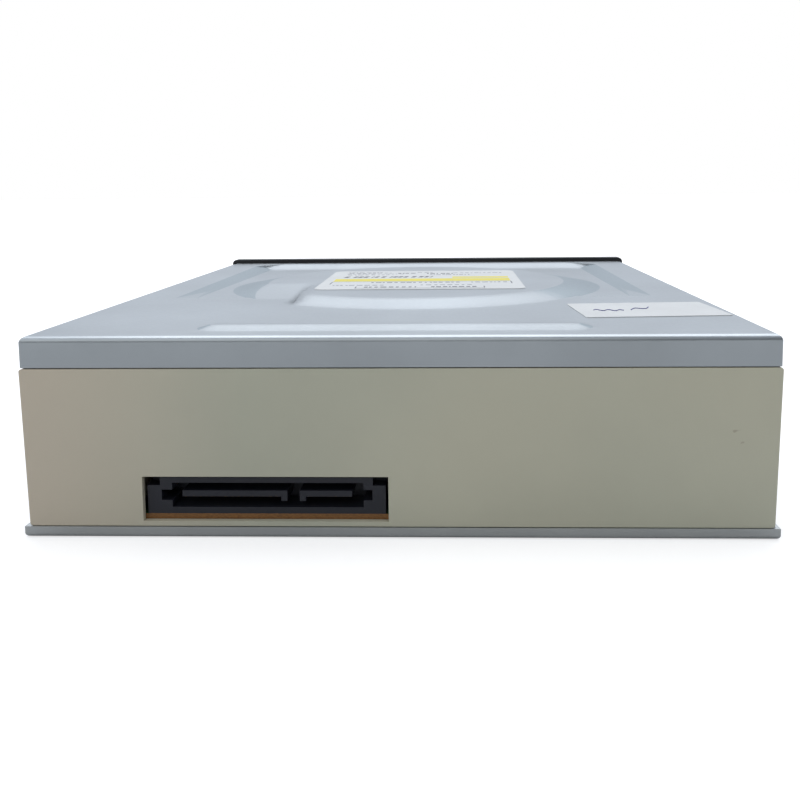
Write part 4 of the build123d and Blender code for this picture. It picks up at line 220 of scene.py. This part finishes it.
class Graph:
    """Short way to add and link the nodes of a material or of the world."""

    def __init__(self, tree):
        self.tree = tree

    def add(self, kind, **inputs):
        """New node. Inputs have _ where the node's own name has a space."""
        node = self.tree.nodes.new(kind)
        for key, value in inputs.items():
            self.feed(value, node.inputs[key.replace("_", " ")])
        return node

    def link(self, source, target):
        """Leads an output to an input, in place of what led there before."""
        self.tree.links.new(source, target)

    def feed(self, value, socket):
        """Gives an input another node's output, or a plain value."""
        if hasattr(value, "links"):
            self.link(value, socket)
        else:
            socket.default_value = value

    def maths(self, operation, *values):
        """Result of one operation on outputs or plain values."""
        node = self.add("ShaderNodeMath")
        node.operation = operation
        for value, socket in zip(values, node.inputs):
            self.feed(value, socket)
        return node.outputs["Value"]

    def parts(self, vector):
        """The outputs X, Y and Z of a vector."""
        return self.add("ShaderNodeSeparateXYZ", Vector=vector).outputs

    def span(self, value, start=(0, 1), end=(0, 1)):
        """Maps the range start to the range end, and goes no further."""
        return self.add("ShaderNodeMapRange", Value=value, From_Min=start[0], From_Max=start[1],
                        To_Min=end[0], To_Max=end[1]).outputs["Result"]

    def ramp(self, factor, *stops):
        """Colour that a factor leads through stops of position and colour."""
        node = self.add("ShaderNodeValToRGB", Fac=factor)
        elements = node.color_ramp.elements
        while len(elements) < len(stops):
            elements.new(0.5)
        for element, (position, colour) in zip(elements, stops):
            element.position = position
            element.color = colour
        return node.outputs["Color"]

    def mask(self, factor, *stops):
        """Grey that a factor leads through stops of position and level."""
        return self.ramp(factor, *((place, (level, level, level, 1)) for place, level in stops))

    def mix(self, factor, a, b, kind="RGBA", blend="MIX"):
        """Mix of two colours, or of two vectors."""
        node = self.add("ShaderNodeMix")
        node.data_type = kind
        node.blend_type = blend
        ends = [socket for socket in node.inputs
                if socket.type == kind and socket.name in ("A", "B")]
        for value, socket in zip((factor, a, b), (node.inputs["Factor"], *ends)):
            self.feed(value, socket)
        return next(socket for socket in node.outputs if socket.type == kind)

    def shown(self):
        """Two outputs of 0 or 1 that say how a ray comes from the camera.

        The first is 1 if it comes straight or by way of a glossy or clear surface, the second
        only if it comes straight.
        """
        ray = self.add("ShaderNodeLightPath").outputs
        from_surface = self.maths("MAXIMUM", ray["Is Glossy Ray"], ray["Is Transmission Ray"])
        return self.maths("MAXIMUM", ray["Is Camera Ray"], from_surface), ray["Is Camera Ray"]


class Material(Graph):
    """The nodes of one material, around its shader. Its lengths are in metres."""

    def __init__(self, name):
        self.material = bpy.data.materials.new(name)
        self.material.use_nodes = True
        super().__init__(self.material.node_tree)
        self.shader = self.tree.nodes["Principled BSDF"]
        self.position = self.add("ShaderNodeTexCoord").outputs["Object"]
        self.colour = None
        self.relief = None

    def noise(self, size, detail=3.0, stretch=(1, 1, 1)):
        """Noise whose features are about size wide."""
        place = self.add("ShaderNodeMapping", Vector=self.position, Scale=stretch)
        return self.add("ShaderNodeTexNoise", Vector=place.outputs["Vector"], Scale=1 / size,
                        Detail=detail).outputs["Fac"]

    def facing(self):
        """X, Y and Z of the direction that the plain surface faces."""
        return self.parts(self.add("ShaderNodeNewGeometry").outputs["True Normal"])

    def cloudy(self, rgb, darker, lighter, size, detail=3.0, edges=(0.3, 0.7),
               stretch=(1, 1, 1)):
        """Colour that drifts between two shades, in clouds about size wide."""
        ends = (linear(shade(rgb, darker)), linear(shade(rgb, lighter)))
        return self.ramp(self.noise(size, detail, stretch), *zip(edges, ends))

    def paint(self, colour):
        """Colour of the surface."""
        self.colour = colour
        self.link(colour, self.shader.inputs["Base Color"])

    def roughen(self, noise, lowest, highest):
        """Roughness that a noise leads from the lowest to the highest."""
        self.link(self.span(noise, end=(lowest, highest)), self.shader.inputs["Roughness"])

    def emboss(self, noise, depth):
        """Fine relief in the shading."""
        self.relief = self.add("ShaderNodeBump", Strength=1.0, Distance=depth, Height=noise)
        self.link(self.relief.outputs["Normal"], self.shader.inputs["Normal"])


def moulded(name, rgb, roughness=0.5, grain=0.0006, depth=0.00002, mottle=0.05):
    """Moulded plastic with a fine spark-eroded grain."""
    m = Material(name)
    m.paint(m.cloudy(rgb, 1 - mottle, 1 + mottle, size=0.02, detail=4.0))
    m.roughen(m.noise(size=0.004), roughness - 0.06, roughness + 0.06)
    m.emboss(m.noise(grain, detail=2.0), depth)
    return m


def sheet_metal(name, rgb, roughness=0.45, grain=0.0009, depth=0.000004, stretch=(1, 1, 1)):
    """Rolled and plated sheet steel with a faint grain and soft clouding."""
    m = Material(name)
    m.shader.inputs["Metallic"].default_value = 1.0
    m.paint(m.cloudy(rgb, 0.96, 1.03, size=0.03, detail=5.0, edges=(0.3, 0.75)))
    streaks = m.noise(grain, detail=4.0, stretch=stretch)
    m.roughen(streaks, roughness - 0.05, roughness + 0.07)
    m.emboss(streaks, depth)
    return m


def cover_steel():
    """Zinc plated cover sheet. The walls of its relief that face sideways carry painted shade, a
    darker and bluer colour.
    """
    m = sheet_metal("cover_steel", COVER_STEEL, roughness=0.3, depth=0.0000006)
    facing = m.facing()
    along_x, along_y = (m.maths("ABSOLUTE", facing[axis]) for axis in ("X", "Y"))
    sideways = m.maths("MULTIPLY", m.maths("SUBTRACT", along_x, along_y), facing["Z"])
    # Painted shade: the walls of the relief that face sideways take a darker, bluer colour.
    m.paint(m.mix(m.mask(sideways, *WALL_SHADE_STOPS), m.colour, linear(SHADED_WALL_STEEL)))
    soften_relief(m)
    return m


def soften_relief(m):
    """Shades the edges of the pressed relief as their wide radii, short of the cover's rim."""
    rounded = m.add("ShaderNodeBevel", Radius=RELIEF_RADIUS * MM)
    rounded.samples = RELIEF_SAMPLES
    place = m.parts(m.position)
    low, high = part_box("top_cover")
    inside = 1.0
    for axis, start, end in (("X", low.x, high.x), ("Y", low.y, high.y)):
        across = m.span(place[axis], (start, end))
        full = RELIEF_MARGIN * MM / (end - start)
        fading = full * RELIEF_FADE
        near_side = m.mask(across, (fading, 0), (full, 1))
        far_side = m.mask(across, (1 - full, 1), (1 - fading, 0))
        inside = m.maths("MULTIPLY", inside, m.maths("MULTIPLY", near_side, far_side))
    sharp = m.add("ShaderNodeNewGeometry").outputs["Normal"]
    m.link(m.mix(inside, sharp, rounded.outputs["Normal"], "VECTOR"), m.relief.inputs["Normal"])


def ivory_plastic():
    """Ivory rear panel and chassis, aged to one side, with brown specks, and painted shade with
    brown dirt in its seams.
    """
    m = Material("ivory_plastic")
    across = m.span(m.parts(m.position)["X"], (cad_low.x, cad_high.x))
    # Painted shade with dirt: the seams turn brown where other surfaces stand close, in noise
    # patches.
    seam = m.add("ShaderNodeAmbientOcclusion", Distance=SEAM_WIDTH * MM)
    seam.samples = SEAM_SAMPLES
    seam_shade = m.mask(seam.outputs["AO"], *SEAM_SHADE_STOPS)
    patches = m.mask(m.noise(size=0.012, detail=4.0), *PATCH_STOPS)
    colour = m.cloudy(IVORY, 0.965, 1.03, size=0.05, detail=4.0, edges=(0.3, 0.72))
    for share, rgb in (
            (m.mask(m.noise(size=0.11, detail=2.0), *WARM_STOPS), WARM_IVORY),
            (m.mask(across, *AGED_STOPS), AGED_IVORY),
            (m.mask(m.noise(size=0.0022, detail=1.0), *SPECK_STOPS), SPECK_BROWN),
            (m.maths("MULTIPLY", seam_shade, patches), SEAM_SHADE_AND_DIRT)):
        colour = m.mix(share, colour, linear(rgb))
    m.paint(colour)
    m.roughen(m.noise(size=0.003), 0.42, 0.55)
    m.emboss(m.noise(size=0.0005, detail=2.0), depth=0.00002)
    return m


def board_mask():
    """Circuit board: green mask on its faces, brown glass fibre at its sawn edges."""
    m = Material("board_mask")
    green = m.cloudy(BOARD_GREEN, 0.85, 1, size=0.004, detail=2.0, edges=(0.35, 0.7))
    fibre = m.cloudy(BOARD_EDGE, 0.8, 1.15, size=0.0006, stretch=(1, 1, 6))
    m.paint(m.mix(m.maths("ABSOLUTE", m.facing()["Z"]), fibre, green))
    m.roughen(m.noise(size=0.003), 0.35, 0.5)
    m.emboss(m.noise(size=0.0015), depth=0.00002)
    return m


def clear_plastic(name, rgb, transmission=0.85):
    """Clear moulding with a smooth surface."""
    m = Material(name)
    m.paint(m.cloudy(rgb, 0.95, 1, size=0.01))
    m.shader.inputs["Transmission Weight"].default_value = transmission
    m.shader.inputs["Roughness"].default_value = 0.08
    return m


def paper(name, rgb, roughness=0.45):
    """Coated paper, or the ink on it."""
    m = Material(name)
    m.paint(m.cloudy(rgb, 0.975, 1.01, size=0.012, detail=4.0))
    m.roughen(m.noise(size=0.002), roughness - 0.05, roughness + 0.05)
    m.emboss(m.noise(size=0.0008, detail=4.0), depth=0.00001)
    return m


def dress():
    """Gives every piece of the frame its material."""
    looks = {
        cover_steel(): ["top_cover"],
        sheet_metal("lip_steel", LIP_STEEL, roughness=0.42): ["bottom_cover"],
        ivory_plastic(): ["main_chassis"],
        moulded("black_plastic", BLACK, roughness=0.46): [
            "front_bezel", "tray_door", "eject_button", "eject_switch", "tray_switch",
            "wire_holder"],
        moulded("connector_plastic", CONNECTOR_BLACK, roughness=0.4, grain=0.0008,
                depth=0.00001): ["sata_connector"],
        moulded("tray_plastic", TRAY_BLACK): ["disc_tray", "swing_frame", "turntable"],
        moulded("acetal", ACETAL, roughness=0.38, grain=0.001, depth=0.00001, mottle=0.02): [
            "cable_sockets", "clamper_puck", "drive_gear", "pulley_gear", "motor_pulley",
            "cam_slider", "nut_arm", "switch_plunger", "centring_hub"],
        board_mask(): ["main_board", "front_board"],
        moulded("chip_package", CHIP_BLACK, roughness=0.55): [
            "board_chips", "chip_parts", "lens_holder", "capacitors"],
        sheet_metal("gold_plate", GOLD, roughness=0.25): ["connector_contacts", "spindle_bearing"],
        sheet_metal("plain_steel", PLAIN_STEEL, roughness=0.3, grain=0.0012, depth=0.000006,
                    stretch=(1, 6, 1)): [
            "loader_motor", "clamper_bridge", "deck_plate", "motor_plate", "spindle_rotor",
            "rod_clips", "screw_bracket", "stepper_motor", "clamper_yoke", "actuator_base",
            "laser_diode", "cover_screws", "bridge_screws", "deck_screws", "actuator_magnets"],
        sheet_metal("ground_rod", ROD_STEEL, roughness=0.14, grain=0.0006, depth=0.000002,
                    stretch=(8, 1, 8)): ["guide_rods", "lead_screw", "motor_shaft"],
        moulded("soft_rubber", RUBBER, roughness=0.72, grain=0.0005, depth=0.00003): [
            "drive_belt", "grommets", "turntable_ring"],
        moulded("thermal_pad", PAD_GREY, roughness=0.8, grain=0.0008, depth=0.00003): [
            "thermal_pad"],
        sheet_metal("die_cast", DIE_CAST, roughness=0.5, grain=0.0007, depth=0.00004): [
            "pickup_housing"],
        clear_plastic("clear_lamp", LAMP_CLEAR): ["indicator_window", "indicator_led"],
        clear_plastic("lens_glass", LENS_CLEAR, transmission=0.9): ["objective_lens"],
        sheet_metal("copper_winding", COPPER, roughness=0.35, grain=0.0004, depth=0.00006,
                    stretch=(1, 1, 10)): ["stator"],
        paper("label_paper", PAPER): ["product_label", "small_sticker"],
    }
    for look, names in looks.items():
        for name in names:
            mesh = nodes[name].data
            mesh.materials.clear()
            mesh.materials.append(look.material)


def label_piece(name, mesh, look):
    """Makes an object of a mesh or curve on the stickers, riding on the casing."""
    piece = bpy.data.objects.new(name, mesh)
    bpy.context.scene.collection.objects.link(piece)
    mesh.materials.append(look.material)
    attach(piece, "casing")
    return piece


def turned_on(middle, turn_deg):
    """Function from a sticker's own x and y in millimetres, and a height, to the frame."""
    turn = math.radians(turn_deg)

    def place(x, y, z):
        """The three coordinates in metres."""
        along = x * math.cos(turn) - y * math.sin(turn)
        across = x * math.sin(turn) + y * math.cos(turn)
        return (middle.x + along * MM, middle.y + across * MM, z)

    return place


def prisms(name, outlines, place, z0, z1, look):
    """One piece of closed upright prisms, on outlines of x and y pairs in millimetres."""
    made = bmesh.new()
    for outline in outlines:
        upper = [made.verts.new(place(x, y, z1)) for x, y in outline]
        lower = [made.verts.new(place(x, y, z0)) for x, y in outline]
        made.faces.new(upper)
        made.faces.new(lower[::-1])
        for n in range(len(outline)):
            after = (n + 1) % len(outline)
            made.faces.new((lower[n], lower[after], upper[after], upper[n]))
    mesh = bpy.data.meshes.new(name)
    made.to_mesh(mesh)
    made.free()
    return label_piece(name, mesh, look)


def rounded_outline(width, height, corner):
    """Outline of a rectangle with round corners."""
    outline = []
    for sx, sy, start in ((1, 1, 0), (-1, 1, 90), (-1, -1, 180), (1, -1, 270)):
        for n in range(CORNER_STEPS + 1):
            angle = math.radians(start + n * 90 / CORNER_STEPS)
            outline.append((sx * (width / 2 - corner) + corner * math.cos(angle),
                            sy * (height / 2 - corner) + corner * math.sin(angle)))
    return outline


def bar(left, right, lower, upper, slant=0.0):
    """Outline of a printed bar, with its upper edge shifted by the slant."""
    return [(left, lower), (right, lower), (right + slant, upper), (left + slant, upper)]


def dashes(rng, y, height, left, right, longest=1.6, widest_gap=0.9, slant=0.0):
    """Bars of uneven length along a row."""
    bars = []
    x = left
    while x < right - SHORTEST_DASH:
        length = rng.uniform(SHORTEST_DASH, longest)
        bars.append(bar(x, min(x + length, right), y - height / 2, y + height / 2, slant))
        x += length + rng.uniform(SHORTEST_GAP, widest_gap)
    return bars


def product_label():
    """The product label: its sheet, and its bands, rows of dashes and lines as thin layers."""
    rng = random.Random(PRINT_SEED)
    low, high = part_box("product_label")
    place = turned_on((low + high) / 2, LABEL_TURN)
    top = high.z - PRINT_T * MM
    sheet = prisms("label_sheet", [rounded_outline(LABEL_W, LABEL_H, LABEL_CORNER)], place,
                   low.z, top, paper("label_sheet_paper", PAPER))
    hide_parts("product_label")
    bands = [bar(*band) for band in YELLOW_BANDS]
    faint = [dash for row in FAINT_ROWS for dash in dashes(rng, *row)]
    dark = dashes(rng, *BOLD_ROW, longest=1.3, widest_gap=1.5, slant=0.7)
    dark += [dash for row in DARK_ROWS for dash in dashes(rng, *row)]
    dark += [bar(*line) for line in LINES]
    faint_grey = shade(PRINT_GREY, FAINT_PRINT)
    for name, bars, ink in (
            ("label_bands", bands, paper("label_yellow", LABEL_YELLOW)),
            ("label_faint_print", faint, paper("label_faint_ink", faint_grey, INK_ROUGHNESS)),
            ("label_print", dark, paper("label_ink", PRINT_GREY, INK_ROUGHNESS))):
        prisms(name, bars, place, top, high.z, ink)


def pen_mark():
    """Two plain wavy pen strokes on the small sticker."""
    low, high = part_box("small_sticker")
    middle = (low + high) / 2
    curve = bpy.data.curves.new("pen_mark", "CURVE")
    curve.dimensions = "3D"
    curve.bevel_depth = PEN_RADIUS * MM
    curve.bevel_resolution = 1
    curve.use_fill_caps = True
    for start, end, rise, waves, swing in PEN_STROKES:
        spline = curve.splines.new("NURBS")
        spline.points.add(PEN_POINTS - 1)
        for n, point in enumerate(spline.points):
            along = n / (PEN_POINTS - 1)
            x = start + along * (end - start)
            y = PEN_Y + along * rise + swing * math.sin(along * waves * 2 * math.pi)
            point.co = (middle.x + x * MM, middle.y + y * MM, high.z + PEN_LIFT * MM, 1)
        spline.order_u = 3
        spline.use_endpoint_u = True
    label_piece("pen_mark", curve, paper("pen_ink", PEN_BLUE, roughness=0.4))


def camera():
    """Camera of the photograph, a little above the drive and behind its rear panel."""
    low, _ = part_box("main_chassis")
    pitch, yaw, roll = (math.radians(a) for a in (PITCH_DEG, YAW_DEG, ROLL_DEG))
    level = Matrix(((1, 0, 0), (0, 0, -1), (0, 1, 0)))
    turn = (Matrix.Rotation(roll, 3, "Z") @ Matrix.Rotation(pitch, 3, "X")
            @ Matrix.Rotation(-yaw, 3, "Y"))
    to_view = Matrix.Diagonal((1, -1, -1)) @ turn @ level
    data = bpy.data.cameras.new("camera")
    data.sensor_width = SENSOR_MM
    data.lens = FOCAL_PX * SENSOR_MM / IMAGE_PX
    data.shift_x = 0.5 - CENTRE_PX[0] / IMAGE_PX
    data.shift_y = CENTRE_PX[1] / IMAGE_PX - 0.5
    data.clip_start = CAMERA_NEAREST * MM
    placed = bpy.data.objects.new("camera", data)
    place = Vector((CAMERA_X * MM, low.y - CAMERA_BEHIND * MM, CAMERA_Z * MM))
    placed.matrix_world = Matrix.Translation(place) @ to_view.transposed().to_4x4()
    bpy.context.scene.collection.objects.link(placed)
    bpy.context.scene.camera = placed


def floor():
    """Pale floor that keeps the shadow near the drive and turns to plain white further out."""
    mesh = bpy.data.meshes.new("floor")
    half = FLOOR_HALF
    corners = [(-half, -half, 0), (half, -half, 0), (half, half, 0), (-half, half, 0)]
    mesh.from_pydata(corners, [], [(0, 1, 2, 3)])
    ground = bpy.data.objects.new("floor", mesh)
    ground.location.z = cad_low.z - FLOOR_DROP
    bpy.context.scene.collection.objects.link(ground)
    m = Material("floor")
    m.shader.inputs["Base Color"].default_value = FLOOR_COLOUR
    m.shader.inputs["Roughness"].default_value = FLOOR_ROUGHNESS
    distance = m.add("ShaderNodeVectorMath")
    distance.operation = "LENGTH"
    m.link(m.position, distance.inputs[0])
    shown, to_camera = m.shown()
    near = m.maths("MULTIPLY", to_camera, FLOOR_GLOW)
    strength = m.span(distance.outputs["Value"], (FLOOR_NEAR, FLOOR_FAR), (near, 1))
    glow = m.add("ShaderNodeEmission", Strength=strength)
    both = m.add("ShaderNodeAddShader")
    m.link(m.shader.outputs[0], both.inputs[0])
    m.link(glow.outputs[0], both.inputs[1])
    mix = m.add("ShaderNodeMixShader", Fac=shown)
    m.link(m.shader.outputs[0], mix.inputs[1])
    m.link(both.outputs[0], mix.inputs[2])
    m.link(mix.outputs[0], m.tree.nodes["Material Output"].inputs["Surface"])
    mesh.materials.append(m.material)


def world():
    """White to the camera. Other rays meet a pale room, dimmer on the rear side of the drive."""
    made = bpy.data.worlds.new("studio")
    bpy.context.scene.world = made
    made.use_nodes = True
    graph = Graph(made.node_tree)
    direction = graph.parts(graph.add("ShaderNodeTexCoord").outputs["Generated"])

    def by_direction(axis, stops):
        """Level of the room along one axis."""
        share = graph.span(direction[axis], (-1, 1))
        return graph.ramp(share, *(
            ((value + 1) / 2, (*(level * tint for tint in ROOM_TINT), 1))
            for value, level in stops))

    shown, to_camera = graph.shown()
    room = graph.tree.nodes["Background"]
    colour = graph.mix(1.0, by_direction("Y", ROOM_ALONG), by_direction("Z", ROOM_UP),
                       blend="MULTIPLY")
    graph.link(colour, room.inputs["Color"])
    graph.link(graph.span(shown, end=(ROOM_DIFFUSE, 1)), room.inputs["Strength"])
    white = graph.add("ShaderNodeBackground", Color=(1, 1, 1, 1))
    mix = graph.add("ShaderNodeMixShader", Fac=to_camera)
    graph.link(room.outputs[0], mix.inputs[1])
    graph.link(white.outputs[0], mix.inputs[2])
    graph.link(mix.outputs[0], graph.tree.nodes["World Output"].inputs["Surface"])


def lamp(name, place, aim, sides, power):
    """Rectangular lamp that faces its aim."""
    data = bpy.data.lights.new(name, "AREA")
    data.shape = "RECTANGLE"
    data.size, data.size_y = sides
    data.energy = power
    placed = bpy.data.objects.new(name, data)
    placed.location = place
    placed.rotation_euler = (Vector(aim) - Vector(place)).to_track_quat("-Z", "Y").to_euler()
    bpy.context.scene.collection.objects.link(placed)


def studio():
    """Floor, room and lamps, with colours shown as they are."""
    floor()
    world()
    for each in LAMPS:
        lamp(*each)
    bpy.context.scene.view_settings.view_transform = "Standard"


dress()
product_label()
pen_mark()
camera()
studio()
